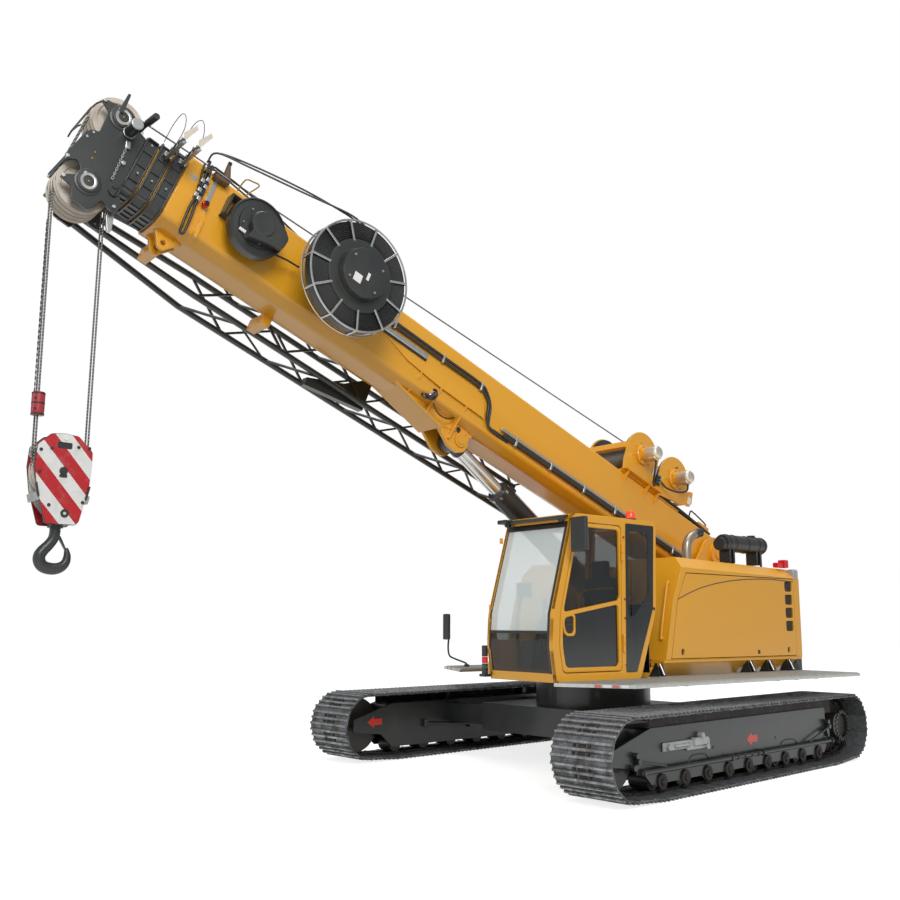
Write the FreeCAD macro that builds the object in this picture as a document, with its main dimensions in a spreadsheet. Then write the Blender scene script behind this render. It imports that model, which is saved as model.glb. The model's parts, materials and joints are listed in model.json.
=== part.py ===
"""Telescopic crawler crane: crawler undercarriage, slewing upper works and a four-section boom.

Millimetres. The row frame has its origin on the ground under the slewing axis, +X towards the boom
head, +Y to the operator's left and +Z up. The crawlers stand turned by a few degrees under the
upper works, as the machine is parked. Pieces of the boom are drawn in the boom's own frame, with
its origin on the boom foot pin, +X along the boom and +Z away from its belly.
"""
import FreeCAD, Part
import math
import os
import re

import Sketcher
from FreeCAD import Placement, Rotation, Vector

document = FreeCAD.newDocument("telescopic_crawler_crane")
sheet = document.addObject("Spreadsheet::Sheet", "Dims")

# Driving dimensions, in groups. Angles are in degrees, everything else in millimetres.
DIMENSIONS = [
    ("parked positions", [
        ("boom_angle", 21.3), ("crawler_angle", 4.47), ("pivot_x", -2080), ("pivot_z", 2570),
        ("seat_gap", 0.3), ("run_gap", 6)]),
    ("crawler loop", [
        ("axle_x", 2250), ("axle_z", 415), ("ground_run", 1780), ("tip_radius", 385),
        ("grouser", 25), ("loop_depth", 65), ("shoe_pitch", 203), ("shoe_width", 690),
        ("gauge_half", 1865), ("bar_tip", 16), ("bar_root", 34)]),
    ("crawler frame", [
        ("frame_half", 175), ("frame_plate", 22), ("frame_top", 650), ("frame_foot", 135),
        ("frame_nose", 2380), ("frame_tail", 2380), ("roller_radius", 88), ("carrier_radius", 38),
        ("beam_x", 760), ("beam_width", 260), ("beam_low", 390), ("beam_high", 610),
        ("beam_tip", 700)]),
    ("carbody", [
        ("carbody_half", 950), ("carbody_low", 340), ("carbody_top", 665), ("carbody_x", 960),
        ("tower_radius", 690), ("tower_top", 925), ("ring_radius", 640)]),
    ("turntable", [
        ("deck_low", 1030), ("deck_top", 1140), ("deck_back", -2572), ("deck_front", 1180),
        ("deck_side", 1270), ("cheek_inner", 350), ("cheek_plate", 40), ("boss_radius", 62),
        ("foot_x", -450), ("foot_z", 1720), ("foot_lug_inner", 145), ("foot_lug_plate", 45),
        ("shelf_low", 1000), ("shelf_front", 1900)]),
    ("housings", [
        ("house_side", 1310), ("house_inner", 430), ("house_back", -2560),
        ("house_top", 2400), ("roof_fall", 60), ("house_wall", 40), ("house_front_low", 235),
        ("house_front_mid", 80), ("house_front_top", -150), ("house_mid_z", 1890),
        ("door_low", 1235), ("door_top", 2215), ("door_back", -2430), ("door_seam", 8),
        ("knuckle_radius", 12), ("knuckle_stand", 18), ("knuckle_half", 45), ("vent_low", 1547),
        ("vent_step", 167)]),
    ("counterweight", [
        ("weight_low", 1045), ("weight_top", 2060), ("weight_back", -3020), ("weight_side", 1240)]),
    ("cab", [
        ("cab_side", 1380), ("cab_inner", 400), ("cab_floor", 1040), ("cab_roof", 2750),
        ("cab_wall", 48), ("roof_front", 1770), ("brow_x", 2075), ("brow_z", 1720),
        ("chin_x", 2095), ("chin_z", 1400), ("toe_x", 2040), ("kink_x", 480), ("kink_z", 1780),
        ("roof_back", 440), ("heel_x", 760), ("pillar_b", 1040), ("post", 70),
        ("sill_z", 1150), ("belt_front", 1700), ("belt_back", 1840), ("pane", 8)]),
    ("walkways", [
        ("walk_top", 1056), ("walk_thick", 46), ("walk_outer", 2090), ("walk_back", -2520),
        ("walk_front", 1720), ("walk_tip", 2120)]),
    ("boom base", [
        ("boom_half", 327), ("boom_high", 240), ("boom_belly", -470), ("boom_fold", -130),
        ("belly_half", 150), ("boom_tail", -180), ("boom_nose", 8370), ("boom_wall", 12),
        ("edge_round", 40), ("section_step", 27), ("ear_along", 8210), ("ear_drop", 85),
        ("ear_near", 60), ("ear_plate", 40), ("ear_bore", 22)]),
    ("inner sections", [
        ("section_tail", 60), ("collar_long", 122), ("collar_gap", 10), ("collar_proud", 22)]),
    ("head", [
        ("upper_along", 9020), ("upper_up", 180), ("lower_along", 9020), ("lower_up", -550),
        ("sheave_radius", 235), ("sheave_width", 62), ("head_half", 215), ("head_plate", 30),
        ("head_back", 8767), ("root_plate", 11), ("boss_round", 92), ("boss_proud", 26),
        ("socket_along", 8745), ("socket_up", -612), ("arm_tube", 50), ("arm_reach", 470),
        ("head_stud", 15)]),
    ("luffing cylinder", [
        ("eye_along", 4440), ("eye_up", -590), ("eye_radius", 112), ("eye_half", 110),
        ("rod_radius", 83), ("barrel_radius", 130), ("barrel_gap", 850), ("rod_buried", 1720),
        ("lug_plate", 45), ("gusset_front", 5660), ("gusset_back", 3950)]),
    ("winches", [
        ("winch_along", 1760), ("winch_up", 610), ("winch_step", 690), ("drum_radius", 190),
        ("flange_radius", 290), ("drum_half", 300), ("flange_plate", 25), ("cheek_round", 318),
        ("motor_radius", 92), ("motor_end", 610), ("drum_shaft", 60)]),
    ("cable reels", [
        ("reel_along", 6620), ("reel_up", -90), ("reel_radius", 560), ("reel_inner", 700),
        ("reel_outer", 880), ("small_along", 7600), ("small_up", -100), ("small_radius", 290),
        ("small_inner", 430), ("small_outer", 560)]),
    ("stowed jib", [
        ("jib_tip", 9100), ("jib_end", 2700), ("jib_near", -450), ("jib_far", -850),
        ("jib_high", -180), ("jib_low", -560), ("chord_radius", 32), ("lace_radius", 16),
        ("bracket_root", 5360), ("bracket_tip", 6130)]),
    ("hook block", [
        ("block_top", -2190), ("block_low", -2930),
        ("block_half", 230), ("cheek_half", 95), ("cheek_thick", 26), ("block_sheave", 225),
        ("hook_low", -3340), ("rope_radius", 8), ("pin_radius", 45),
        ("over_low", -2040), ("over_high", -1840), ("over_radius", 55),
        ("chain_radius", 7)]),
]

row = 0
for heading, entries in DIMENSIONS:
    row += 1
    sheet.set("A%d" % row, heading)
    for name, number in entries:
        row += 1
        sheet.set("A%d" % row, name)
        sheet.set("B%d" % row, str(number))
        sheet.setAlias("B%d" % row, name)
document.recompute()

FUNCTIONS = {"sin", "cos", "atan", "sqrt", "deg", "abs"}
parts = {}


def bound(text):
    """An expression over the sheet's names, written for the document."""
    def word(match):
        name = match.group(0)
        return name if name in FUNCTIONS else "Dims." + name
    return re.sub(r"[a-z][a-z_0-9]*", word, str(text))


def size(name):
    """A driving dimension's number, for the shapes that are worked out here."""
    return float(sheet.get(name))


def named(item, node):
    """Makes an object a sub-part: its label names the node and its file."""
    item.Label = node
    parts[node] = item
    return item


def new_body(name):
    return document.addObject("PartDesign::Body", name)


def outline(body, name, plane, points, low):
    """A closed sketch on one of the body's own planes, its corners bound to the sheet."""
    sketch = body.newObject("Sketcher::SketchObject", name)
    origin = [f for f in body.Origin.OriginFeatures if f.Role == plane][0]
    sketch.AttachmentSupport = (origin, [""])
    sketch.MapMode = "FlatFace"
    count = len(points)
    start = []
    for index in range(count):
        turn = 2 * math.pi * index / count
        start.append(Vector(100 * math.cos(turn), 100 * math.sin(turn), 0))
    lines = [Part.LineSegment(start[i], start[(i + 1) % count]) for i in range(count)]
    sketch.addGeometry(lines, False)
    rules = [Sketcher.Constraint("Coincident", i, 2, (i + 1) % count, 1) for i in range(count)]
    for index in range(count):
        rules.append(Sketcher.Constraint("DistanceX", -1, 1, index, 1, start[index].x))
        rules.append(Sketcher.Constraint("DistanceY", -1, 1, index, 1, start[index].y))
    sketch.addConstraint(rules)
    for index, (across, up) in enumerate(points):
        sketch.setExpression("Constraints[%d]" % (count + 2 * index), bound(across))
        sketch.setExpression("Constraints[%d]" % (count + 2 * index + 1), bound(up))
    sketch.setExpression("AttachmentOffset.Base.z", bound(low))
    return sketch


def spans(plane, low, high):
    """Where a sketch stands on its plane's normal: the XZ plane looks towards -Y."""
    return "-(%s)" % high if plane == "XZ_Plane" else low


def pad(body, name, plane, points, low, high):
    """Adds a prism between two stations on the plane's axis."""
    sketch = outline(body, name + "_sketch", plane, points, spans(plane, low, high))
    feature = body.newObject("PartDesign::Pad", name)
    feature.Profile = sketch
    feature.setExpression("Length", bound("(%s) - (%s)" % (high, low)))
    return feature


def pocket(body, name, plane, points, low, high):
    """Removes a prism between two stations on the plane's axis."""
    sketch = outline(body, name + "_sketch", plane, points, spans(plane, low, high))
    feature = body.newObject("PartDesign::Pocket", name)
    feature.Profile = sketch
    feature.Reversed = True
    feature.setExpression("Length", bound("(%s) - (%s)" % (high, low)))
    return feature


def box_points(left, right, low, high):
    return [(left, low), (right, low), (right, high), (left, high)]


def rod(name, radius, low, high, axis="Y", across=0, up=0):
    """A cylinder between two stations along an axis, at (across, up) in the plane it pierces."""
    item = document.addObject("Part::Cylinder", name)
    item.setExpression("Radius", bound(radius))
    item.setExpression("Height", bound("(%s) - (%s)" % (high, low)))
    turns = {"X": (Vector(0, 1, 0), 90), "Y": (Vector(1, 0, 0), -90), "Z": (Vector(0, 0, 1), 0)}
    item.Placement = Placement(Vector(), Rotation(*turns[axis]))
    order = {"X": (low, across, up), "Y": (across, low, up), "Z": (across, up, low)}[axis]
    for letter, text in zip("xyz", order):
        item.setExpression("Placement.Base." + letter, bound(text))
    return item


def block(name, x_span, y_span, z_span):
    """A box between two stations on each axis."""
    item = document.addObject("Part::Box", name)
    for prop, letter, span in zip(("Length", "Width", "Height"), "xyz", (x_span, y_span, z_span)):
        item.setExpression(prop, bound("(%s) - (%s)" % (span[1], span[0])))
        item.setExpression("Placement.Base." + letter, bound(span[0]))
    return item


def fuse(name, *items):
    item = document.addObject("Part::MultiFuse", name)
    item.Shapes = list(items)
    return item


def cut(name, base, *tools):
    item = document.addObject("Part::Cut", name)
    item.Base = base
    item.Tool = tools[0] if len(tools) == 1 else fuse(name + "_tools", *tools)
    return item


def group(name, *items):
    """Like pieces that share a node and don't touch."""
    item = document.addObject("Part::Compound", name)
    item.Links = list(items)
    return item


def shaped(name, shape):
    """A piece whose shape is worked out here from the sheet's numbers."""
    item = document.addObject("Part::Feature", name)
    item.Shape = shape
    return item


def turned(item, axis, angle, base=("0", "0", "0")):
    """Places a finished piece by an angle and a base point that follow the sheet."""
    item.Placement = Placement(Vector(), Rotation(axis, 1))
    item.setExpression("Placement.Rotation.Angle", bound(angle))
    for letter, text in zip("xyz", base):
        item.setExpression("Placement.Base." + letter, bound(text))
    return item


def on_crawlers(item):
    return turned(item, Vector(0, 0, 1), "crawler_angle")


def on_boom(item):
    return turned(item, Vector(0, -1, 0), "boom_angle", ("pivot_x", "0", "pivot_z"))


def boom_point(along, up):
    """The row-frame x and z of a point given along and above the boom's axis."""
    x = "(pivot_x + (%s) * cos(boom_angle) - (%s) * sin(boom_angle))" % (along, up)
    z = "(pivot_z + (%s) * sin(boom_angle) + (%s) * cos(boom_angle))" % (along, up)
    return x, z


# Crawlers: a closed loop of three-bar shoes round an idler, a sprocket and rollers.
def loop_centres():
    """The four bends of the crawler loop: ground roller and idler, sprocket and ground roller."""
    return [(size("ground_run"), size("tip_radius")), (size("axle_x"), size("axle_z")),
            (-size("axle_x"), size("axle_z")), (-size("ground_run"), size("tip_radius"))]


def loop_wire(radius):
    """The loop's inner side, of arcs and lines, on its inner flank."""
    side = -size("shoe_width") / 2
    centres = loop_centres()
    count = len(centres)
    leave = []
    for index, here in enumerate(centres):
        after = centres[(index + 1) % count]
        leave.append(math.atan2(after[1] - here[1], after[0] - here[0]) - math.pi / 2)
    edges = []
    for index, here in enumerate(centres):
        after = centres[(index + 1) % count]
        arrive = leave[index - 1]
        turn = (leave[index] - arrive) % (2 * math.pi)
        angles = (arrive, arrive + turn / 2, arrive + turn)
        spots = [Vector(here[0] + radius * math.cos(angle), side, here[1] + radius * math.sin(angle))
                 for angle in angles]
        edges.append(Part.Arc(*spots).toShape())
        run = Vector(after[0] - here[0], 0, after[1] - here[1])
        edges.append(Part.makeLine(spots[2], spots[2] + run))
    return Part.Wire(edges)


def loop_station(distance, radius, base_radius):
    """The point of the crawler loop at a distance along its shoe plates, on the loop's inner flank."""
    side = -size("shoe_width") / 2
    centres = loop_centres()
    count = len(centres)
    for index in range(count):
        here = centres[index]
        after = centres[(index + 1) % count]
        before = centres[index - 1]
        leave = math.atan2(after[1] - here[1], after[0] - here[0]) - math.pi / 2
        arrive = math.atan2(here[1] - before[1], here[0] - before[0]) - math.pi / 2
        bend = (leave - arrive) % (2 * math.pi)
        if distance <= bend * base_radius:
            turn = arrive + distance / base_radius
            return Vector(here[0] + radius * math.cos(turn), side, here[1] + radius * math.sin(turn))
        distance -= bend * base_radius
        run = math.hypot(after[0] - here[0], after[1] - here[1])
        if distance <= run:
            share = distance / run
            x = here[0] + share * (after[0] - here[0]) + radius * math.cos(leave)
            z = here[1] + share * (after[1] - here[1]) + radius * math.sin(leave)
            return Vector(x, side, z)
        distance -= run
    return loop_station(0, radius, base_radius)


def loop_length(radius):
    slope = math.hypot(size("axle_x") - size("ground_run"), size("axle_z") - size("tip_radius"))
    return 2 * (size("axle_x") + size("ground_run") + slope) + 2 * math.pi * radius


def track_shape():
    """The loop with every grouser bar in its outline, centred on the crawler's own middle plane."""
    plate = size("tip_radius") - size("grouser")
    length = loop_length(plate)
    bars = 3 * round(length / size("shoe_pitch"))
    step = length / bars
    corners = []
    for index in range(bars):
        middle = (index + 0.5) * step
        for offset, radius in ((-size("bar_root") / 2, plate), (-size("bar_tip") / 2, size("tip_radius")),
                               (size("bar_tip") / 2, size("tip_radius")), (size("bar_root") / 2, plate)):
            corners.append(loop_station(middle + offset, radius, plate))
    outer = Part.makePolygon(corners + [corners[0]])
    inner = loop_wire(size("tip_radius") - size("loop_depth"))
    inner.reverse()
    return Part.Face([outer, inner]).extrude(Vector(0, size("shoe_width"), 0))


def sprocket_shape(teeth=21, hub=150):
    """The drive sprocket: a toothed disc with its hub."""
    tip = size("tip_radius") - size("loop_depth") - size("seat_gap")
    root = tip - 38
    points = []
    for tooth in range(teeth):
        for share, radius in ((0.0, root), (0.3, root), (0.45, tip), (0.65, tip), (0.8, root)):
            turn = 2 * math.pi * (tooth + share) / teeth
            points.append(Vector(radius * math.cos(turn), 0, radius * math.sin(turn)))
    disc = Part.Face(Part.makePolygon(points + [points[0]])).extrude(Vector(0, 60, 0))
    disc.translate(Vector(0, -30, 0))
    reach = size("frame_half") - size("frame_plate") - size("seat_gap")
    drum = Part.makeCylinder(hub, 2 * reach, Vector(0, -reach, 0), Vector(0, 1, 0))
    return disc.fuse(drum).removeSplitter()


def crawler(side, sign):
    """One crawler: box frame with its two extension beams, shoe loop and running gear."""
    centre = "%d * gauge_half" % sign
    frame = new_body("frame_box_" + side)
    half = "frame_half"
    side_outline = [
        ("-frame_tail", "axle_z - 130"), ("-ground_run - 100", "axle_z - 170"),
        ("-ground_run", "frame_foot"), ("ground_run", "frame_foot"),
        ("ground_run + 180", "axle_z - 120"), ("frame_nose", "axle_z - 70"),
        ("frame_nose", "axle_z + 70"), ("ground_run", "frame_top"),
        ("-ground_run", "frame_top"), ("-frame_tail", "axle_z + 130")]
    pad(frame, side + "_box", "XZ_Plane", side_outline, centre + " - " + half, centre + " + " + half)
    inner_low = "%s - %s + frame_plate" % (centre, half)
    inner_high = "%s + %s - frame_plate" % (centre, half)
    channel = box_points("-ground_run - 60", "ground_run + 60", "frame_foot - 40", "beam_low - 60")
    pocket(frame, side + "_roller_channel", "XZ_Plane", channel, inner_low, inner_high)
    fork = box_points("ground_run + 60", "frame_nose + 60", "frame_foot", "frame_top + 10")
    pocket(frame, side + "_idler_fork", "XZ_Plane", fork, inner_low, inner_high)
    drive = box_points("-frame_tail - 60", "-ground_run - 60", "frame_foot", "frame_top + 10")
    open_low, open_high = (inner_low, inner_high + " + frame_plate + 10")
    if sign < 0:
        open_low, open_high = (inner_low + " - frame_plate - 10", inner_high)
    pocket(frame, side + "_drive_bay", "XZ_Plane", drive, open_low, open_high)
    inner_face = "%s - %d * frame_half" % (centre, sign)
    ends = (inner_face, "%d * beam_tip" % sign)
    low, high = (ends[1], ends[0]) if sign > 0 else (ends[0], ends[1])
    for place, x in (("front", "beam_x"), ("rear", "-beam_x")):
        beam = box_points(x + " - beam_width / 2", x + " + beam_width / 2", "beam_low", "beam_high")
        pad(frame, "%s_%s_beam" % (side, place), "XZ_Plane", beam, low, high)
    named(on_crawlers(frame), "crawler_frame_" + side)

    track = shaped("loop_" + side, track_shape())
    turned(track, Vector(0, 0, 1), "crawler_angle",
           ("-(%s) * sin(crawler_angle)" % centre, "(%s) * cos(crawler_angle)" % centre, "0"))
    named(track, "track_" + side)

    inner = "(tip_radius - loop_depth - seat_gap)"
    reach = "(frame_half - frame_plate - seat_gap)"
    gear = [fuse("idler_" + side,
                 rod("idler_rim_" + side, inner, centre + " - 60", centre + " + 60", "Y", "axle_x", "axle_z"),
                 rod("idler_hub_" + side, 70, "%s - %s" % (centre, reach), "%s + %s" % (centre, reach),
                     "Y", "axle_x", "axle_z"))]
    sprocket = shaped("sprocket_" + side, sprocket_shape())
    for letter, text in zip("xyz", ("-axle_x", centre, "axle_z")):
        sprocket.setExpression("Placement.Base." + letter, bound(text))
    gear.append(sprocket)
    lower = "(tip_radius - %s + roller_radius)" % inner
    upper = "(axle_z + %s - carrier_radius)" % inner
    rollers = 8
    for index in range(rollers):
        x = "(%r * ground_run * 0.94)" % (2 * index / (rollers - 1) - 1)
        gear.append(fuse("roller_%s_%d" % (side, index),
                         rod("tread_%s_%d" % (side, index), "roller_radius", centre + " - 110",
                             centre + " + 110", "Y", x, lower),
                         block("axle_%s_%d" % (side, index), (x + " - 20", x + " + 20"),
                               ("%s - %s" % (centre, reach), "%s + %s" % (centre, reach)),
                               (lower + " - 20", lower + " + 20"))))
    for index, x in enumerate(("-ground_run * 0.42", "ground_run * 0.42")):
        gear.append(fuse("carrier_%s_%d" % (side, index),
                         rod("carrier_tread_%s_%d" % (side, index), "carrier_radius",
                             centre + " - 80", centre + " + 80", "Y", x, upper),
                         block("carrier_foot_%s_%d" % (side, index), (x + " - 30", x + " + 30"),
                               (centre + " - 50", centre + " + 50"),
                               ("frame_top + seat_gap", upper))))
    named(on_crawlers(group("gear_" + side, *gear)), "running_gear_" + side)


for side_name, side_sign in (("left", 1), ("right", -1)):
    crawler(side_name, side_sign)

# Carbody: a welded box with two through sleeves for the crawler beams and a round tower.
carbody = new_body("carbody_body")
pad(carbody, "carbody_box", "XY_Plane",
    [("-carbody_x", "-carbody_half"), ("carbody_x", "-carbody_half"), ("carbody_x", "carbody_half"),
     ("-carbody_x", "carbody_half")], "carbody_low", "carbody_top")
for place, x in (("front", "beam_x"), ("rear", "-beam_x")):
    opening = box_points(x + " - beam_width / 2 - run_gap", x + " + beam_width / 2 + run_gap",
                         "beam_low - seat_gap", "beam_high + run_gap")
    pocket(carbody, place + "_sleeve", "XZ_Plane", opening, "-carbody_half - 10", "carbody_half + 10")
tower = rod("tower", "tower_radius", "carbody_top - 5", "tower_top", "Z")
named(on_crawlers(fuse("carbody_weldment", carbody, tower)), "carbody")

ring = rod("ring", "ring_radius", "tower_top", "deck_low - seat_gap", "Z")
named(on_crawlers(group("ring_unit", ring)), "slew_ring")

# Turntable: deck plate, two cheek plates that carry the boom foot, and the cylinder's foot lugs.
deck = new_body("deck_body")
pad(deck, "deck_plate", "XY_Plane",
    [("deck_back", "-deck_side"), ("house_front_low", "-deck_side"), ("house_front_low + 180", "-620"),
     ("deck_front", "-620"), ("deck_front", "cheek_inner + cheek_plate"),
     ("house_front_low + 180", "cheek_inner + cheek_plate"), ("house_front_low", "deck_side"),
     ("deck_back", "deck_side")], "deck_low", "deck_top")
pad(deck, "cab_shelf", "XY_Plane",
    [("ring_radius + 60", "-300"), ("deck_front", "-300"), ("shelf_front", "cab_inner + 40"),
     ("shelf_front", "cab_side - 60"), ("ring_radius + 60", "cab_side - 60")],
    "shelf_low", "cab_floor - seat_gap")
cheek = [("-2480", "deck_top - 10"), ("1130", "deck_top - 10"), ("1130", "1290"), ("420", "1700"),
         ("-1050", "2230"), ("-1640", "pivot_z + 40"), ("-1800", "pivot_z + 190"),
         ("pivot_x - 180", "pivot_z + 190"), ("-2640", "pivot_z + 30"), ("-2640", "2150"),
         ("-2480", "2050")]
for place, low in (("left", "cheek_inner"), ("right", "-cheek_inner - cheek_plate")):
    pad(deck, place + "_cheek", "XZ_Plane", cheek, low, low + " + cheek_plate")
lug = [("foot_x - 260", "deck_top - 10"), ("foot_x + 260", "deck_top - 10"),
       ("foot_x + 130", "foot_z + 60"), ("foot_x + 60", "foot_z + 130"),
       ("foot_x - 60", "foot_z + 130"), ("foot_x - 130", "foot_z + 60")]
for place, low in (("left", "foot_lug_inner"), ("right", "-foot_lug_inner - foot_lug_plate")):
    pad(deck, place + "_lug", "XZ_Plane", lug, low, low + " + foot_lug_plate")
foot_bore = rod("foot_bore", "boss_radius + seat_gap", "-cheek_inner - cheek_plate - 10",
                "cheek_inner + cheek_plate + 10", "Y", "pivot_x", "pivot_z")
named(cut("turntable_bored", deck, foot_bore), "turntable")

# Counterweight: a cast block with a rounded tail.
weight = new_body("weight_body")
weight_front = "(deck_back - seat_gap)"
tail = [(weight_front, "-weight_side")]
for share in (-1.0, -0.8, -0.5, 0.0, 0.5, 0.8, 1.0):
    bow = "weight_back + (deck_back - 60 - weight_back) * %r" % round(share * share, 4)
    tail.append((bow, "weight_side * %r" % share))
tail.append((weight_front, "weight_side"))
pad(weight, "weight_block", "XY_Plane", tail, "weight_low", "weight_top")
named(weight, "counterweight")


def knuckles(label, axis, stations, across, up, leaf_side):
    """Hinge knuckles in pairs: the first of each pair for the frame, the second for the leaf."""
    pairs = ([], [])
    for index, middle in enumerate(stations):
        spans_along = ((middle + " - 2 * knuckle_half - seat_gap", middle + " - seat_gap"),
                       (middle, middle + " + 2 * knuckle_half"))
        for which, (low, high) in enumerate(spans_along):
            name = "%s_knuckle_%d_%d" % (label, index, which)
            barrel = rod(name, "knuckle_radius", low, high, axis, across, up)
            pairs[which].append(barrel)
            pairs[which].append(block(name + "_strap", *leaf_side(which, low, high)))
    return pairs


# Engine housings: open-bottomed shells with a top-hinged side door each.
HOUSE_FOOT = "(deck_top + seat_gap)"


def house_profile(inset):
    """The side view of a housing, drawn in by a wall."""
    return [("house_back + %s" % inset, HOUSE_FOOT), ("house_front_low - %s" % inset, HOUSE_FOOT),
            ("house_front_mid - %s" % inset, "house_mid_z"),
            ("house_front_top - %s" % inset, "house_top - %s" % inset),
            ("house_back + %s" % inset, "house_top - roof_fall - %s" % inset)]


def housing(side, sign):
    shell = new_body("shell_" + side)
    faces = ("house_inner", "house_side") if sign > 0 else ("-house_side", "-house_inner")
    pad(shell, side + "_shell", "XZ_Plane", house_profile("0"), *faces)
    inner = [(x, HOUSE_FOOT + " - 10" if z == HOUSE_FOOT else z) for x, z in house_profile("house_wall")]
    pocket(shell, side + "_hollow", "XZ_Plane", inner, faces[0] + " + house_wall",
           faces[1] + " - house_wall")
    opening = [("door_back", "door_low"), ("house_front_low - 90", "door_low"),
               ("house_front_mid - 75", "house_mid_z"), ("house_front_top - 20", "door_top"),
               ("door_back", "door_top")]
    wall = ("house_side - house_wall - 5", "house_side + 5")
    if sign < 0:
        wall = ("-house_side - 5", "-house_side + house_wall + 5")
    pocket(shell, side + "_opening", "XZ_Plane", opening, *wall)
    axis_y = "%d * (house_side + knuckle_stand)" % sign

    def strap(which, low, high):
        faces_y = ("house_side - 5", "house_side + knuckle_stand")
        if sign < 0:
            faces_y = ("-house_side - knuckle_stand", "-house_side + 5")
        heights = ("door_top + 4", "door_top + 50") if which == 0 else ("door_top - 60", "door_top - 4")
        return (low, high), faces_y, heights

    fixed, moving = knuckles(side, "X", ("-1750", "-500"), axis_y, "door_top", strap)
    named(fuse("shell_unit_" + side, shell, *fixed), "housing_" + side)

    door = new_body("panel_" + side)
    leaf = [("door_back + door_seam", "door_low + door_seam"),
            ("house_front_low - 90 - door_seam", "door_low + door_seam"),
            ("house_front_mid - 75 - door_seam", "house_mid_z"),
            ("house_front_top - 20 - door_seam", "door_top - door_seam"),
            ("door_back + door_seam", "door_top - door_seam")]
    leaf_faces = ("house_side - house_wall", "house_side")
    if sign < 0:
        leaf_faces = ("-house_side", "-house_side + house_wall")
    pad(door, side + "_leaf", "XZ_Plane", leaf, *leaf_faces)
    for index in range(4):
        low = "vent_low + %d * vent_step" % index
        pocket(door, "%s_vent_%d" % (side, index), "XZ_Plane",
               box_points("door_back + 50", "door_back + 210", low, low + " + 125"), *wall)
    named(fuse("leaf_unit_" + side, door, *moving), "housing_door_" + side)


housing("left", 1)
housing("right", -1)
engine = block("engine_mass", ("-1900", "-750"), ("560", "1130"), ("deck_top + seat_gap", "1980"))
named(engine, "engine_block")


def roof_at(x):
    """The height of a housing's sloping roof, with room to rest on it."""
    share = "(house_front_top - (%s)) / (house_front_top - house_back)" % x
    return "(house_top - roof_fall * %s + seat_gap)" % share


stack = fuse("stack", rod("stack_pipe", 62, roof_at("-578"), "2640", "Z", "-640", "980"),
             rod("stack_tip", 52, "2640", "2700", "Z", "-640", "980"))
named(stack, "exhaust_stack")
cleaner = fuse("cleaner", rod("cleaner_drum", 115, "-1900", "-1130", "X", "1060", "2590"),
               block("cleaner_foot_front", ("-1330", "-1270"), ("990", "1130"), (roof_at("-1270"), "2520")),
               block("cleaner_foot_rear", ("-1780", "-1720"), ("990", "1130"), (roof_at("-1720"), "2520")))
named(cleaner, "air_cleaner")


# Walkways: ribbed alloy decks along both sides.
def walkway(side, sign):
    plan = [("walk_back", "deck_side + 12"), ("500", "deck_side + 12"), ("640", "cab_side + 25"),
            ("walk_tip", "cab_side + 25"),
            ("walk_front", "walk_outer"), ("walk_back", "walk_outer")]
    if sign < 0:
        plan = [("walk_back", "-deck_side - 12"), ("walk_back", "-walk_outer"), ("650", "-walk_outer"),
                ("1050", "-deck_side - 12")]
    body = new_body("walk_" + side)
    pad(body, side + "_deck", "XY_Plane", plan, "walk_top - walk_thick", "walk_top")
    for index in range(3):
        x = "%d" % (-2000 + 1000 * index)
        low, high = ("deck_side + seat_gap", "walk_outer - 200")
        if sign < 0:
            low, high = ("-walk_outer + 200", "-deck_side - seat_gap")
        pad(body, "%s_bearer_%d" % (side, index), "XZ_Plane",
            box_points(x + " - 40", x + " + 40", "walk_top - 110", "walk_top - 10"), low, high)
    named(body, "walkway_" + side)


walkway("left", 1)
walkway("right", -1)


# Cab: a hollow welded shell with its windows and doorway cut.
def cab_profile(inset):
    return [("heel_x + %s" % inset, "cab_floor + %s" % inset),
            ("toe_x - %s" % inset, "cab_floor + %s" % inset),
            ("chin_x - %s" % inset, "chin_z"), ("brow_x - %s" % inset, "brow_z"),
            ("roof_front - %s" % inset, "cab_roof - %s" % inset),
            ("roof_back + %s" % inset, "cab_roof - %s" % inset),
            ("kink_x + %s" % inset, "kink_z")]


cab = new_body("cab_body")
pad(cab, "cab_solid", "XZ_Plane", cab_profile("0"), "cab_inner", "cab_side")
pocket(cab, "cab_hollow", "XZ_Plane", cab_profile("cab_wall"), "cab_inner + cab_wall",
       "cab_side - cab_wall")
doorway = [("pillar_b", "sill_z"), ("toe_x - 95", "sill_z"), ("chin_x - 115", "chin_z"),
           ("brow_x - 105", "brow_z"), ("roof_front - 60", "cab_roof - 110"),
           ("pillar_b", "cab_roof - 110")]
pocket(cab, "doorway", "XZ_Plane", doorway, "cab_side - cab_wall - 5", "cab_side + 5")
quarter = [("heel_x + 100", "sill_z"), ("pillar_b - post", "sill_z"),
           ("pillar_b - post", "cab_roof - 110"), ("roof_back + 80", "cab_roof - 110"),
           ("kink_x + 80", "kink_z")]
pocket(cab, "left_quarter", "XZ_Plane", quarter, "cab_side - cab_wall - 5", "cab_side + 5")
right_light = [("heel_x + 100", "1450"), ("chin_x - 115", "1450"), ("brow_x - 105", "brow_z"),
               ("roof_front - 60", "cab_roof - 110"), ("roof_back + 80", "cab_roof - 110"),
               ("kink_x + 80", "kink_z")]
pocket(cab, "right_window", "XZ_Plane", right_light, "cab_inner - 5", "cab_inner + cab_wall + 5")
front_light = box_points("cab_inner + 60", "cab_side - 60", "sill_z", "cab_roof - 90")
pocket(cab, "front_window", "YZ_Plane", front_light, "roof_front - 90", "chin_x + 60")
rear_light = box_points("cab_inner + 90", "cab_side - 90", "kink_z + 60", "cab_roof - 110")
pocket(cab, "rear_window", "YZ_Plane", rear_light, "roof_back - 60", "kink_x + 75")


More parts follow.
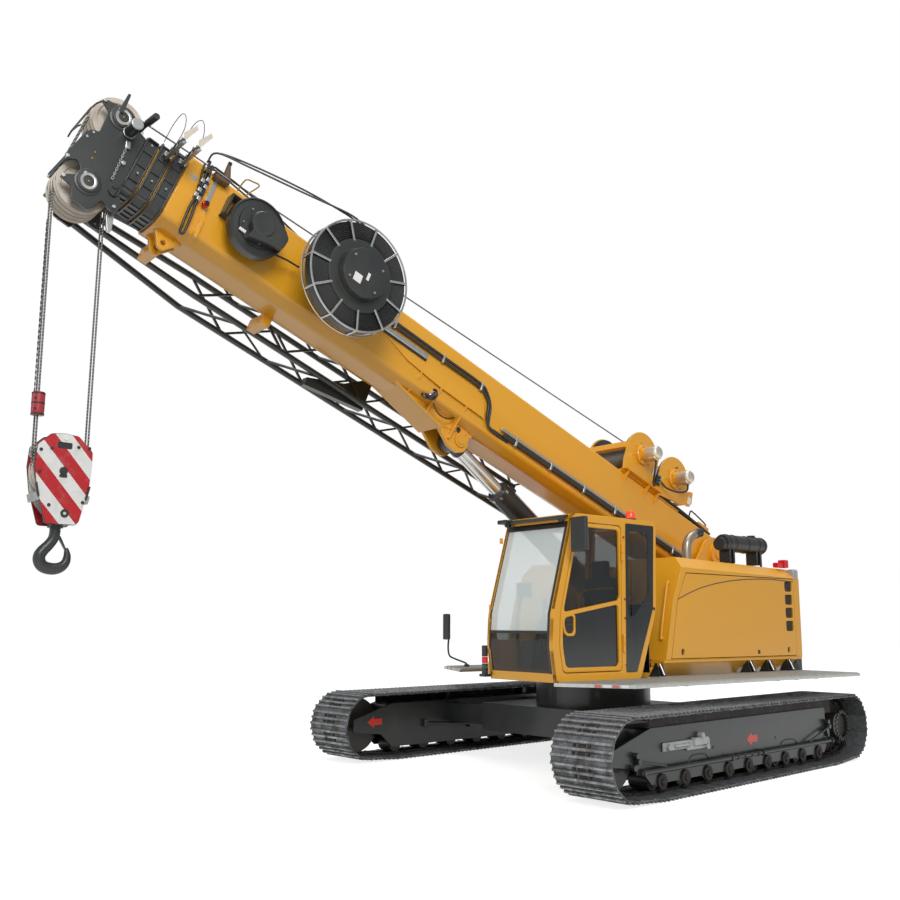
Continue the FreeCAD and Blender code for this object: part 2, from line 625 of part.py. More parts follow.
def door_strap(which, low, high):
    across = ("pillar_b - 60", "pillar_b - 4") if which == 0 else ("pillar_b + 4", "pillar_b + 60")
    return across, ("cab_side - 5", "cab_side + knuckle_stand"), (low, high)


fixed, moving = knuckles("cab", "Z", ("1420", "2380"), "pillar_b", "cab_side + knuckle_stand", door_strap)
named(fuse("cab_unit", cab, *fixed), "cab_shell")

screen = new_body("screen_body")
strip = [("toe_x - 8", "sill_z + 1"), ("chin_x - 10", "chin_z"), ("brow_x - 10", "brow_z"),
         ("roof_front + 20", "cab_roof - 91"), ("roof_front + 20 - pane", "cab_roof - 91"),
         ("brow_x - 10 - pane", "brow_z"), ("chin_x - 10 - pane", "chin_z"),
         ("toe_x - 8 - pane", "sill_z + 1")]
pad(screen, "screen", "XZ_Plane", strip, "cab_inner + 60 + seat_gap", "cab_side - 60 - seat_gap")
panes = [screen]
for label, light, low in (("quarter", quarter, "cab_side - 30"), ("right", right_light, "cab_inner + 22")):
    pane = new_body("pane_" + label)
    pad(pane, label + "_glass", "XZ_Plane", light, low, low + " + pane")
    panes.append(pane)
rear_pane = new_body("pane_rear")
pad(rear_pane, "rear_glass", "YZ_Plane", rear_light, "kink_x + 8", "kink_x + 8 + pane")
panes.append(rear_pane)
named(group("cab_panes", *panes), "cab_glass")

# Operator's seat on its base, with the two arm consoles.
seat = fuse("seat",
            block("seat_base", ("900", "1330"), ("690", "1090"), ("cab_floor + cab_wall + seat_gap", "1420")),
            block("seat_cushion", ("860", "1400"), ("650", "1130"), ("1400", "1530")),
            block("seat_back", ("760", "890"), ("670", "1110"), ("1480", "2150")),
            block("headrest", ("770", "860"), ("770", "1010"), ("2130", "2330")),
            block("left_console", ("950", "1450"), ("1150", "1260"), ("1450", "1640")),
            block("left_link", ("1000", "1150"), ("1080", "1160"), ("1420", "1520")),
            block("right_console", ("950", "1500"), ("500", "640"), ("1400", "1660")),
            block("right_link", ("1000", "1150"), ("630", "700"), ("1410", "1500")))
named(seat, "operator_seat")

# Cab door: a framed leaf as thick as the wall, hung on the B pillar.
door = new_body("door_body")
door_leaf = [("pillar_b + door_seam", "sill_z + door_seam"), ("toe_x - 95 - door_seam", "sill_z + door_seam"),
             ("chin_x - 115 - door_seam", "chin_z"), ("brow_x - 105 - door_seam", "brow_z"),
             ("roof_front - 62 - door_seam", "cab_roof - 110 - door_seam"),
             ("pillar_b + door_seam", "cab_roof - 110 - door_seam")]
pad(door, "door_leaf", "XZ_Plane", door_leaf, "cab_side - cab_wall", "cab_side")
upper_light = [("pillar_b + 75", "belt_back + 35"), ("brow_x - 190", "belt_front + 45"),
               ("roof_front - 125", "cab_roof - 175"), ("pillar_b + 75", "cab_roof - 175")]
lower_light = [("pillar_b + 75", "sill_z + 60"), ("toe_x - 160", "sill_z + 60"),
               ("chin_x - 185", "chin_z"), ("brow_x - 180", "belt_front - 20"),
               ("pillar_b + 75", "belt_back - 30")]
door_panes = []
for label, light in (("upper", upper_light), ("lower", lower_light)):
    pocket(door, label + "_light", "XZ_Plane", light, "cab_side - cab_wall - 5", "cab_side + 5")
    pane = new_body("door_pane_" + label)
    pad(pane, label + "_door_glass", "XZ_Plane", light, "cab_side - 30", "cab_side - 30 + pane")
    door_panes.append(pane)
named(fuse("door_unit", door, *moving), "cab_door")
named(group("door_panes", *door_panes), "cab_door_glass")

# Mirrors and lamps.
left_mirror = fuse("left_mirror",
                   block("left_mirror_head", ("1895", "1935"), ("1480", "1700"), ("2330", "2690")),
                   rod("left_mirror_arm", 14, "cab_side - 15", "1560", "Y", "1800", "2560"),
                   rod("left_mirror_link", 14, "1795", "1905", "X", "1555", "2560"))
left_seat = cut("left_mirror_seat", left_mirror,
                block("left_mirror_clear", ("1700", "1860"), ("1200", "cab_side + seat_gap"), ("2400", "2700")))
right_mirror = fuse("right_mirror",
                    block("right_mirror_head", ("560", "600"), ("-2190", "-2060"), ("1400", "1750")),
                    rod("right_mirror_post", 14, "walk_top + seat_gap", "1420", "Z", "580", "-2070"))
named(group("mirrors_pair", left_seat, right_mirror), "mirrors")
beacon = rod("beacon_lens", 60, "cab_roof + seat_gap", "cab_roof + 130", "Z", "700", "1240")
rear_lamp = rod("rear_lamp_lens", 55, roof_at("-2355"), "house_top + 70", "Z", "-2410", "1190")
stack_lamp = rod("lamp_stack", 32, "1090", "1390", "Z", "2085", "cab_inner - 45")
lamp_foot = block("lamp_stack_foot", ("2030", "2120"), ("cab_inner - 80", "cab_inner - 10"), ("1060", "1095"))
lamp_arm = block("lamp_stack_arm", ("1960", "2060"), ("cab_inner - 40", "cab_inner - seat_gap"), ("1060", "1095"))
named(group("lamps", beacon, rear_lamp, fuse("stack_unit", stack_lamp, lamp_foot, lamp_arm)), "warning_lamps")


# Boom: four nested box sections with a folded belly.
def section_profile(step):
    """The half-hexagon box section of a boom tube, drawn in by a step on every side."""
    right = [("belly_half", "boom_belly + %s" % step),
             ("boom_half - %s - edge_round" % step, "boom_belly + %s + edge_round * 1.6" % step),
             ("boom_half - %s" % step, "boom_fold"),
             ("boom_half - %s" % step, "boom_high - %s - edge_round" % step),
             ("boom_half - %s - edge_round" % step, "boom_high - %s" % step)]
    left = [("-(%s)" % y, z) for y, z in reversed(right)]
    return right + left


def tube(body, name, step, tail, nose):
    pad(body, name + "_tube", "YZ_Plane", section_profile(step), tail, nose)
    pocket(body, name + "_bore", "YZ_Plane", section_profile("(%s + boom_wall)" % step),
           tail + " - 10", nose + " + 10")


base = new_body("base_body")
tube(base, "base", "0", "boom_tail", "boom_nose")
gusset_plates = []
for place, low, high in (("left", "eye_half + run_gap", "eye_half + run_gap + lug_plate"),
                         ("right", "-eye_half - run_gap - lug_plate", "-eye_half - run_gap")):
    plate = new_body("gusset_" + place)
    pad(plate, place + "_gusset", "XZ_Plane",
        [("gusset_front - 300", "boom_belly"), ("eye_along + 330", "boom_belly - 130"),
         ("eye_along + 120", "eye_up - 150"), ("eye_along - 60", "eye_up - 120"),
         ("eye_along - 140", "eye_up"), ("gusset_back", "boom_belly")], low, high)
    gusset_plates.append(plate)
plate_outer = "eye_half + run_gap + lug_plate"
ribs = new_body("gusset_ribs")
for index, (along, low) in enumerate((("eye_along + 170", "eye_up - 90"), ("eye_along + 470", "boom_belly - 70"),
                                      ("eye_along + 760", "boom_belly - 30"))):
    for place, flip in (("left", ""), ("right", "-")):
        rib = [(plate_outer + " - 5", low), (plate_outer + " - 5", "boom_belly + 4"),
               ("boom_half - edge_round - 2", "boom_belly + edge_round * 1.6 + 2"),
               ("boom_half - 2", "boom_fold + 10"), ("boom_half + 12", "boom_fold + 10"),
               ("boom_half - 10", "boom_fold - 190"), (plate_outer + " + 40", low)]
        rib = [("%s(%s)" % (flip, y), z) for y, z in rib]
        pad(ribs, "rib_%d_%s" % (index, place), "YZ_Plane", rib, along, along + " + 14")
nose_flange = [("gusset_front - 300", "boom_belly - 6"), ("eye_along + 330", "boom_belly - 136"),
               ("eye_along + 330", "boom_belly - 118"), ("gusset_front - 340", "boom_belly + 2"),
               ("gusset_front - 300", "boom_belly + 2")]
flange_plate = new_body("gusset_flange")
pad(flange_plate, "front_flange", "XZ_Plane", nose_flange, "-(%s) - 30" % plate_outer, plate_outer + " + 30")
gusset_plates += [ribs, flange_plate]


def ear(name, along, low):
    """A rounded lug under the boom's belly, bored for a pin."""
    body = new_body(name)
    turns = (200, 235, 270, 305, 340)
    rim = [("%s + %r" % (along, round(70 * math.cos(math.radians(turn)), 2)),
            "boom_belly - ear_drop + %r" % round(70 * math.sin(math.radians(turn)), 2)) for turn in turns]
    shape = [("%s - 170" % along, "boom_belly + 5")] + rim + [("%s + 150" % along, "boom_belly + 5")]
    pad(body, name + "_plate", "XZ_Plane", shape, low, low + " + ear_plate")
    bore = rod(name + "_bore", "ear_bore", low + " - 5", low + " + ear_plate + 5", "Y", along,
               "boom_belly - ear_drop")
    return cut(name + "_bored", body, bore)


jib_lugs = [ear("nose_ear", "ear_along", "ear_near")]
for index, along in enumerate(("8200", "6940")):
    jib_lugs.append(block("jib_lug_%d" % index, (along + " - 60", along + " + 60"),
                          ("jib_near + chord_radius * 0.924 + seat_gap", "-belly_half + 60"),
                          ("boom_belly - 120", "boom_belly + 5")))
gusset_pin = rod("gusset_pin", "pin_radius - seat_gap", "-eye_half - run_gap - lug_plate",
                 "eye_half + run_gap + lug_plate", "Y", "eye_along", "eye_up")
foot_bosses = [rod("foot_boss_" + place, "boss_radius", low, high, "Y", "0", "0")
               for place, low, high in (("left", "boom_half - 1", "cheek_inner + cheek_plate + 20"),
                                        ("right", "-cheek_inner - cheek_plate - 20", "-boom_half + 1"))]
named(on_boom(fuse("base_weldment", base, gusset_pin, *(gusset_plates + jib_lugs + foot_bosses))),
      "boom_base")

for number in (2, 3, 4):
    inner = new_body("section_%d" % number)
    step = "(section_step * %d)" % (number - 1)
    front = "(boom_nose + collar_gap + (collar_long + collar_gap) * %d)" % (number - 2)
    tube(inner, "section_%d" % number, step, "(section_tail * %d)" % (number - 1), front + " + collar_long")
    collar = new_body("collar_%d" % number)
    flange = 20
    pad(collar, "collar_%d_ring" % number, "YZ_Plane", section_profile("(%s - collar_proud + 12)" % step),
        front, front + " + collar_long")
    for place, start in (("rear", front), ("front", front + " + collar_long - %d" % flange)):
        pad(collar, "collar_%d_%s_flange" % (number, place), "YZ_Plane",
            section_profile("(%s - collar_proud)" % step), start, start + " + %d" % flange)
    pocket(collar, "collar_%d_bore" % number, "YZ_Plane", section_profile("(%s + boom_wall / 2)" % step),
           front + " - 10", front + " + collar_long + 10")
    pad_thick = "(section_step - boom_wall - seat_gap)"
    rear = "(section_tail * %d)" % (number - 1)
    lower_face = "(boom_belly + %s)" % step
    upper_face = "(boom_high - %s)" % step
    sliders = [block("slider_low_%d" % number, (rear, rear + " + 160"),
                     ("-belly_half + 30", "belly_half - 30"),
                     ("%s - %s" % (lower_face, pad_thick), lower_face + " + 2")),
               block("slider_high_%d" % number, (rear, rear + " + 160"), ("-belly_half", "belly_half"),
                     (upper_face + " - 2", "%s + %s" % (upper_face, pad_thick)))]
    named(on_boom(fuse("section_%d_weldment" % number, inner, collar, *sliders)), "boom_section_%d" % number)

# Boom head: two side plates on the innermost section, joined by pins and a nose plate.
head_outline = [
    ("head_back", "upper_up - 30"), ("upper_along - 140", "upper_up"), ("upper_along - 80", "upper_up + 90"),
    ("upper_along + 20", "upper_up + 105"), ("upper_along + 195", "upper_up + 65"),
    ("upper_along + 215", "upper_up + 35"), ("upper_along + 123", "upper_up - 20"),
    ("upper_along + 110", "upper_up - 245"), ("upper_along + 171", "upper_up - 270"),
    ("upper_along + 205", "upper_up - 320"), ("lower_along + 260", "lower_up + 110"),
    ("lower_along + 230", "lower_up + 80"), ("lower_along + 157", "lower_up + 130"),
    ("lower_along + 105", "lower_up + 88"), ("lower_along + 100", "lower_up + 10"),
    ("lower_along + 200", "lower_up - 55"), ("lower_along + 216", "lower_up - 95"),
    ("lower_along + 95", "lower_up - 110"), ("lower_along + 60", "lower_up - 212"),
    ("lower_along - 105", "lower_up - 229"), ("lower_along - 164", "lower_up - 66"),
    ("socket_along + 30", "socket_up - 45"), ("socket_along - 40", "socket_up - 45"),
    ("socket_along - 55", "socket_up + 45"), ("head_back", "lower_up + 100")]
head_pieces = []
for place, low in (("left", "head_half"), ("right", "-head_half - head_plate")):
    plate = new_body("head_plate_" + place)
    pad(plate, place + "_head_plate", "XZ_Plane", head_outline, low, low + " + head_plate")
    head_pieces.append(plate)
section_front = "(boom_nose + 3 * (collar_long + collar_gap) + seat_gap)"
root_plate = block("head_root", (section_front, section_front + " + root_plate"),
                   ("-head_half - 5", "head_half + 5"), ("boom_belly + 160", "boom_high - 60"))
head_pieces.append(root_plate)
outer_face = "(head_half + head_plate)"
for label, along, up in (("upper", "upper_along", "upper_up"), ("lower", "lower_along", "lower_up")):
    head_pieces.append(rod("head_pin_" + label, "pin_radius", "-%s - 34" % outer_face, outer_face + " + 34",
                           "Y", along, up))
    for place, low, high in (("left", outer_face + " - 2", outer_face + " + boss_proud"),
                             ("right", "-%s - boss_proud" % outer_face, "-%s + 2" % outer_face)):
        head_pieces.append(rod("head_boss_%s_%s" % (label, place), "boss_round", low, high, "Y", along, up))
head_pieces.append(rod("head_brow_guard", "head_stud", "-%s - 12" % outer_face, outer_face + " + 12", "Y",
                       "lower_along + 236", "lower_up + 105"))
for label, along, up in (("top_stud", "upper_along + 190", "upper_up + 45"),
                         ("chin_stud", "lower_along + 190", "lower_up - 75"),
                         ("socket_stud", "socket_along", "socket_up")):
    for place, low, high in (("left", outer_face + " - 10", outer_face + " + 20"),
                             ("right", "-%s - 20" % outer_face, "-%s + 10" % outer_face)):
        head_pieces.append(rod("head_%s_%s" % (label, place), "head_stud", low, high, "Y", along, up))
head_pieces.append(rod("head_arm", "arm_tube", outer_face + " - 2", "arm_reach", "Y", "upper_along - 100",
                       "upper_up - 90"))
named(on_boom(fuse("head_weldment", *head_pieces)), "boom_head")


def groove_radius(radius):
    return radius - size("sheave_width") * 0.32


def ring_wire(radius, y, sides=36):
    """A many-sided rim about the Y axis, as fine as a sheave needs."""
    points = []
    for index in range(sides + 1):
        turn = 2 * math.pi * (index % sides) / sides
        points.append(Vector(radius * math.cos(turn), y, radius * math.sin(turn)))
    return Part.makePolygon(points)


def sheave_row(node, label, count, radius, width, gap, place, hub=80):
    """A row of like rope sheaves on one pin, turned from one blank: rims, grooves and hubs."""
    solids = []
    half = width / 2
    groove = groove_radius(radius)
    for index in range(count):
        middle = (index - (count - 1) / 2) * (width + gap)
        stations = ((radius, -half), (radius, -half * 0.7), (groove, -half * 0.2), (groove, half * 0.2),
                    (radius, half * 0.7), (radius, half))
        wires = [ring_wire(r, middle + y) for r, y in stations]
        solids.append(Part.makeLoft(wires, True, True))
    length = count * (width + gap) - gap
    solids.append(Part.makeCylinder(hub, length, Vector(0, -length / 2, 0), Vector(0, 1, 0)))
    bore = Part.makeCylinder(size("pin_radius") + size("seat_gap"), 2 * length, Vector(0, -length, 0),
                             Vector(0, 1, 0))
    item = shaped(label, solids[0].multiFuse(solids[1:]).cut(bore))
    place(item)
    return named(item, node)


def boom_hung(along, up):
    x, z = boom_point(along, up)
    return lambda item: turned(item, Vector(0, -1, 0), "boom_angle", (x, "0", z))


sheave_row("head_sheaves_upper", "upper_row", 4, size("sheave_radius"), size("sheave_width"), 12,
           boom_hung("upper_along", "upper_up"))
sheave_row("head_sheaves_lower", "lower_row", 4, size("sheave_radius"), size("sheave_width"), 12,
           boom_hung("lower_along", "lower_up"))

# Luffing cylinder: barrel from the turntable lugs, chromed rod to the boom's gusset.
eye_x, eye_z = boom_point("eye_along", "eye_up")
reach_x = "(%s - foot_x)" % eye_x
reach_z = "(%s - foot_z)" % eye_z
cylinder_angle = "atan((%s) / (%s))" % (reach_z, reach_x)
cylinder_length = "sqrt((%s) * (%s) + (%s) * (%s))" % (reach_x, reach_x, reach_z, reach_z)


def on_cylinder(item):
    return turned(item, Vector(0, -1, 0), cylinder_angle, (eye_x, "0", eye_z))


rod_eye = fuse("rod_end", rod("rod_eye_ring", "eye_radius", "-eye_half", "eye_half", "Y"),
               rod("rod_shaft", "rod_radius", "-barrel_gap - rod_buried", "-eye_radius / 2", "X"))
rod_bore = rod("rod_eye_bore", "pin_radius", "-eye_half - 5", "eye_half + 5", "Y")
named(on_cylinder(cut("rod_piece", rod_eye, rod_bore)), "luff_rod")
tube_outer = rod("barrel_tube", "barrel_radius", "-(%s) + 120" % cylinder_length, "-barrel_gap", "X")
tube_bore = rod("barrel_bore", "rod_radius + seat_gap",
                "-(%s) + 150" % cylinder_length, "-barrel_gap + 5", "X")
foot_eye = rod("foot_eye", 135, "-eye_half - 15", "eye_half + 15", "Y", "-(%s)" % cylinder_length, "0")
barrel_outer = fuse("barrel_outer", tube_outer, foot_eye)
named(on_cylinder(cut("barrel_piece", barrel_outer, tube_bore)), "luff_barrel")

# Winches: two drums in a cradle on top of the boom's tail.
def cheek_outline(along, turns=9):
    """A round-topped winch cheek standing on the boom."""
    rim = []
    for index in range(turns):
        turn = math.radians(-10 + 200 * index / (turns - 1))
        rim.append(("%s + cheek_round * %r" % (along, round(math.cos(turn), 4)),
                    "winch_up + cheek_round * %r" % round(math.sin(turn), 4)))
    return [("%s - 250" % along, "boom_high"), ("%s + 290" % along, "boom_high")] + rim


cradle = []
for place, low in (("left", "drum_half + run_gap"), ("right", "-drum_half - run_gap - flange_plate")):
    for spot, along in (("front", "winch_along"), ("rear", "(winch_along - winch_step)")):
        cheek_body = new_body("cheek_%s_%s" % (spot, place))
        pad(cheek_body, "%s_%s_cheek" % (spot, place), "XZ_Plane", cheek_outline(along), low,
            low + " + flange_plate")
        cradle.append(cheek_body)
cradle_side = "(drum_half + run_gap)"
cradle.append(block("cradle_floor", ("winch_along - winch_step - 330", "winch_along + 330"),
                    ("-%s - 20" % cradle_side, cradle_side + " + 20"), ("boom_high", "boom_high + 18")))
cradle.append(block("cradle_beam", ("winch_along + 302", "winch_along + 318"),
                    ("-%s - 5" % cradle_side, cradle_side + " + 5"), ("winch_up + 50", "winch_up + 130")))
named(on_boom(fuse("cradle_weldment", *cradle)), "winch_cradle")
motors = []
for spot, along in (("front", "winch_along"), ("rear", "(winch_along - winch_step)")):
    seat_face = "drum_half + run_gap + flange_plate + seat_gap"
    motors.append(fuse("motor_" + spot,
                       rod("motor_flange_" + spot, "motor_radius + 38", seat_face, seat_face + " + 40", "Y",
                           along, "winch_up"),
                       rod("motor_drum_" + spot, "motor_radius", seat_face + " + 38", "motor_end", "Y",
                           along, "winch_up")))
named(on_boom(group("motor_pair", *motors)), "winch_motors")
for place, along in (("front", "winch_along"), ("rear", "(winch_along - winch_step)")):
    drum = fuse("drum_" + place,
                rod("drum_core_" + place, "drum_radius", "-drum_half", "drum_half", "Y"),
                rod("drum_left_" + place, "flange_radius", "drum_half - flange_plate", "drum_half", "Y"),
                rod("drum_right_" + place, "flange_radius", "-drum_half", "-drum_half + flange_plate", "Y"),
                rod("drum_shaft_" + place, "drum_shaft", "-drum_half - run_gap + seat_gap",
                    "drum_half + run_gap - seat_gap", "Y"))
    x, z = boom_point(along, "winch_up")
    named(turned(drum, Vector(0, -1, 0), "boom_angle", (x, "0", z)), "winch_drum_" + place)

# Cable reels on the boom's left side.
for node, along, up, radius, inner_y, outer_y, hub in (
        ("cable_reel_large", "reel_along", "reel_up", "reel_radius", "reel_inner", "reel_outer", "270"),
        ("cable_reel_small", "small_along", "small_up", "small_radius", "small_inner", "small_outer", "120")):
    reel = fuse(node + "_turned",
                rod(node + "_back", radius, inner_y, inner_y + " + 14", "Y"),
                rod(node + "_front", radius, outer_y + " - 14", outer_y, "Y"),
                rod(node + "_core", hub, inner_y, outer_y + " + 90", "Y"))
    x, z = boom_point(along, up)
    named(turned(reel, Vector(0, -1, 0), "boom_angle", (x, "0", z)), node)
arms = []
for node, along, up, inner_y, radius in (("large", "reel_along", "reel_up", "reel_inner", 90),
                                         ("small", "small_along", "small_up", "small_inner", 60)):
    arms.append(rod("reel_bracket_" + node, radius, "boom_half + seat_gap", inner_y + " - seat_gap",
                    "Y", along, up))
named(on_boom(group("reel_brackets_pair", *arms)), "reel_brackets")


# Stowed lattice jib along the boom's right side.
def strut(start, end, radius, sides=0):
    """A straight bar: round, or with a few flat sides."""
    along = end.sub(start)
    if not sides:
        return Part.makeCylinder(radius, along.Length, start, along)
    turn = Rotation(Vector(0, 0, 1), along)
    points = []
    for index in range(sides + 1):
        angle = 2 * math.pi * (index % sides + 0.5) / sides
        points.append(start + turn.multVec(Vector(radius * math.cos(angle), radius * math.sin(angle), 0)))
    return Part.Face(Part.makePolygon(points)).extrude(along)


def jib_shape():
    near, far = size("jib_near"), size("jib_far")
    high, low = size("jib_high"), size("jib_low")
    tip, end = size("jib_tip"), size("jib_end")
    middle_y, middle_z = (near + far) / 2, (high + low) / 2
    start_x, taper_x = end + 60, tip - 1500
    pieces = []
    corners = [(near, low), (far, low), (far, high), (near, high)]
    narrow = 0.45
    for y, z in corners:
        bend = Vector(taper_x, y, z)
        nose = Vector(tip - 120, middle_y + (y - middle_y) * narrow, middle_z + (z - middle_z) * narrow)
        lead = (nose - bend).normalize() * 12
        pieces.append(strut(Vector(start_x - 60, y, z), bend, size("chord_radius"), 8))
        pieces.append(strut(bend - lead, nose, size("chord_radius"), 8))
    bays = 9
    step = (taper_x - start_x) / bays
    for first, second in ((0, 1), (1, 2), (2, 3), (3, 0)):
        for index in range(bays):
            a, b = (first, second) if index % 2 == 0 else (second, first)
            pieces.append(strut(Vector(start_x + index * step, *corners[a]),
                                Vector(start_x + (index + 1) * step, *corners[b]), size("lace_radius"), 4))
    plate = Part.makeBox(40, (near - far) * narrow + 90, (high - low) * narrow + 90,
                         Vector(tip - 160, middle_y - (near - far) * narrow / 2 - 45,
                                middle_z - (high - low) * narrow / 2 - 45))
    pieces.append(plate)
    root, outer = size("bracket_root"), size("bracket_tip")
    bracket = [(root, high), (root, low - 40), (outer, low - 150), (outer, low - 60), (root + 330, low + 120)]
    corners = [Vector(x, near - 60, z) for x, z in bracket]
    pieces.append(Part.Face(Part.makePolygon(corners + [corners[0]])).extrude(Vector(0, -90, 0)))
    return pieces[0].multiFuse(pieces[1:])


named(on_boom(shaped("jib", jib_shape())), "lattice_jib")

# Hoist rope: the common tangent of the front winch drum and the upper head sheave.
def rope_lie(radius):
    """The radius of a rope's middle on a drum or in a groove."""
    return radius + size("rope_radius") + size("seat_gap")


def hoist_run(y):
    start = Vector(size("winch_along"), y, size("winch_up"))
    end = Vector(size("upper_along"), y, size("upper_up"))
    first = rope_lie(size("drum_radius"))
    second = rope_lie(groove_radius(size("sheave_radius")))
    run = end.sub(start)
    lift = math.atan2(run.z, run.x) + math.asin((second - first) / run.Length)
    normal = Vector(-math.sin(lift), 0, math.cos(lift))
    return strut(start + normal * first, end + normal * second, size("rope_radius"))


rope_side = (size("sheave_width") + 12) / 2
named(on_boom(shaped("rope_over_boom", hoist_run(rope_side))), "hoist_rope")

# Rope falls, hook block and hook, hung plumb under the lower head sheaves.
hub_x, hub_z = boom_point("lower_along", "lower_up")


def under_head(item):
    return turned(item, Vector(0, 0, 1), "0", (hub_x, "0", hub_z))


fall_top = rope_lie(groove_radius(size("sheave_radius")))
fall_foot = rope_lie(groove_radius(size("block_sheave")))
foot_z = size("block_top") - 300


def fall_shape(sign_x, y, radius):
    """One fall, from the side of a lower head sheave to the side of a block sheave."""
    return strut(Vector(sign_x * fall_top, y, 0), Vector(sign_x * fall_foot, y, foot_z), radius)


falls = Part.makeCompound([fall_shape(sign_x, y, size("rope_radius")) for sign_x in (1, -1)
                           for y in (-rope_side, rope_side)])
named(under_head(shaped("falls", falls)), "rope_falls")

over_share = (size("over_low") + size("over_high")) / 2 / foot_z
over_line = "%r" % round(fall_top + (fall_foot - fall_top) * over_share, 3)
over_y = "((sheave_width + 12) / 2)"
over_body = rod("over_body", "over_radius", "over_low", "over_high", "Z", over_line, over_y)
over_bore = shaped("over_bore", fall_shape(1, rope_side, size("rope_radius") + size("seat_gap")))
over_weight = cut("over_weight", over_body, over_bore)
over_chain = rod("over_chain", "chain_radius", "over_high - 20", "-330", "Z", over_line + " + 36", over_y)
named(under_head(fuse("over_unit", over_weight, over_chain)), "overhoist_weight")

cheeks = []
plate_outline = [("-block_half", "block_top - 120"), ("-block_half + 120", "block_top"),
                 ("block_half - 120", "block_top"), ("block_half", "block_top - 120"),
                 ("block_half - 60", "block_low + 120"), ("110", "block_low"), ("-110", "block_low"),
                 ("-block_half + 60", "block_low + 120")]
for place, low in (("left", "cheek_half"), ("right", "-cheek_half - cheek_thick")):
    plate = new_body("block_cheek_" + place)
    pad(plate, place + "_block_cheek", "XZ_Plane", plate_outline, low, low + " + cheek_thick")
    cheeks.append(plate)
cheeks.append(rod("block_pin", "pin_radius", "-cheek_half - 5", "cheek_half + 5", "Y", "0",
                  "block_top - 300"))
cheeks.append(block("block_crosshead", ("-90", "90"), ("-cheek_half - 5", "cheek_half + 5"),
                    ("block_low + 20", "block_low + 140")))
named(under_head(fuse("block_weldment", *cheeks)), "hook_block")


def block_hung(item):
    return turned(item, Vector(0, 0, 1), "0", (hub_x, "0", "%s + block_top - 300" % hub_z))


sheave_row("block_sheaves", "block_row", 2, size("block_sheave"), size("sheave_width"), 12, block_hung)


def bend(centre, radius, start, end):
    """An arc in the XZ plane, from one angle to another in degrees."""
    points = []
    for turn in (start, (start + end) / 2, end):
        angle = math.radians(turn)
        points.append(centre + Vector(radius * math.cos(angle), 0, radius * math.sin(angle)))
    return Part.Arc(*points).toShape()


def hook_shape(bar_radius=42, bowl_radius=105, neck_drop=170):
    """A forged hook: shank, an S-shaped neck out to the bowl, and the tapered point."""
    shank_top = size("block_low") + 20 - size("seat_gap")
    bowl = Vector(0, 0, size("hook_low") + bowl_radius + bar_radius)
    neck_top = bowl + Vector(0, 0, neck_drop)
    neck_radius = (bowl_radius ** 2 + neck_drop ** 2) / (4 * bowl_radius)
    sweep = math.degrees(math.asin(neck_drop / 2 / neck_radius))
    path = Part.Wire([
        bend(neck_top + Vector(neck_radius, 0, 0), neck_radius, 180, 180 + sweep),
        bend(bowl + Vector(bowl_radius - neck_radius, 0, 0), neck_radius, sweep, 0),
        bend(bowl, bowl_radius, 0, -200)])
    profile = Part.makePolygon([
        neck_top + Vector(bar_radius * math.cos(turn), bar_radius * math.sin(turn), 0)
        for turn in [math.radians(30 * (index % 12) + 15) for index in range(13)]])
    bar = path.makePipeShell([profile], True, False, 0)
    shank = Part.makeCylinder(bar_radius + 2, shank_top - neck_top.z, neck_top)
    tip_angle = math.radians(-200)
    tip = bowl + Vector(bowl_radius * math.cos(tip_angle), 0, bowl_radius * math.sin(tip_angle))
    lean = Vector(math.sin(tip_angle), 0, -math.cos(tip_angle))
    point = Part.makeCone(bar_radius, bar_radius / 3, 110, tip, lean)
    return shank.multiFuse([bar, point])


named(under_head(shaped("hook_forging", hook_shape())), "hook")

document.recompute()
problems = [item.Name for item in document.Objects
            if any(word in ("Invalid", "Error") for word in item.State)]
for node, item in parts.items():
    if item.Shape.isNull() or not item.Shape.isValid():
        problems.append(node)
if problems:
    raise RuntimeError("not built: " + ", ".join(problems))

os.makedirs("parts", exist_ok=True)
for node, item in parts.items():
    item.Shape.exportStep("parts/%s.step" % node)
print(len(parts), "nodes")
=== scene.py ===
import json
import math

import bmesh
import bpy
from mathutils import Matrix, Vector


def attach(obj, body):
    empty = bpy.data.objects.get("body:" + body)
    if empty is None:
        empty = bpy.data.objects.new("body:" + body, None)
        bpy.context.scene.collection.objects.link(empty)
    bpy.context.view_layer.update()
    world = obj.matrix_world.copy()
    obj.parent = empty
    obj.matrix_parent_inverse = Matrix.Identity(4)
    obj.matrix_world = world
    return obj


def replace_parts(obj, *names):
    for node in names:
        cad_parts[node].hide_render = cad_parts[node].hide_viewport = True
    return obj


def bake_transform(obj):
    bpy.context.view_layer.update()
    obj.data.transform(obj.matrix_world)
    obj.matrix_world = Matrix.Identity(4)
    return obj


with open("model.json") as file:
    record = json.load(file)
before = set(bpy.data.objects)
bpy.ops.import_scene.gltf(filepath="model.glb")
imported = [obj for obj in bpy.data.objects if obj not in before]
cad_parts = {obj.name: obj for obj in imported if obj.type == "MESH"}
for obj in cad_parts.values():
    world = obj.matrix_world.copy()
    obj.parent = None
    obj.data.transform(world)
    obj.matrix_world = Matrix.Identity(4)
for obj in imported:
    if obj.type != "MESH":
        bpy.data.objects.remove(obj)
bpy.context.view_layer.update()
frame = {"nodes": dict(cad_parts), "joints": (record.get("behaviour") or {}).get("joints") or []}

# Camera. The photographer stands at the crane's front left corner, at eye height on level ground,
# and the machine fills the frame from the boom head to the rear crawler.
camera_data = bpy.data.cameras.new("camera")
camera_data.sensor_width = 36.0
camera_data.lens = 38.2
camera_data.shift_x = 0.0125
camera_data.shift_y = 0.0256
camera = bpy.data.objects.new("camera", camera_data)
bpy.context.scene.collection.objects.link(camera)
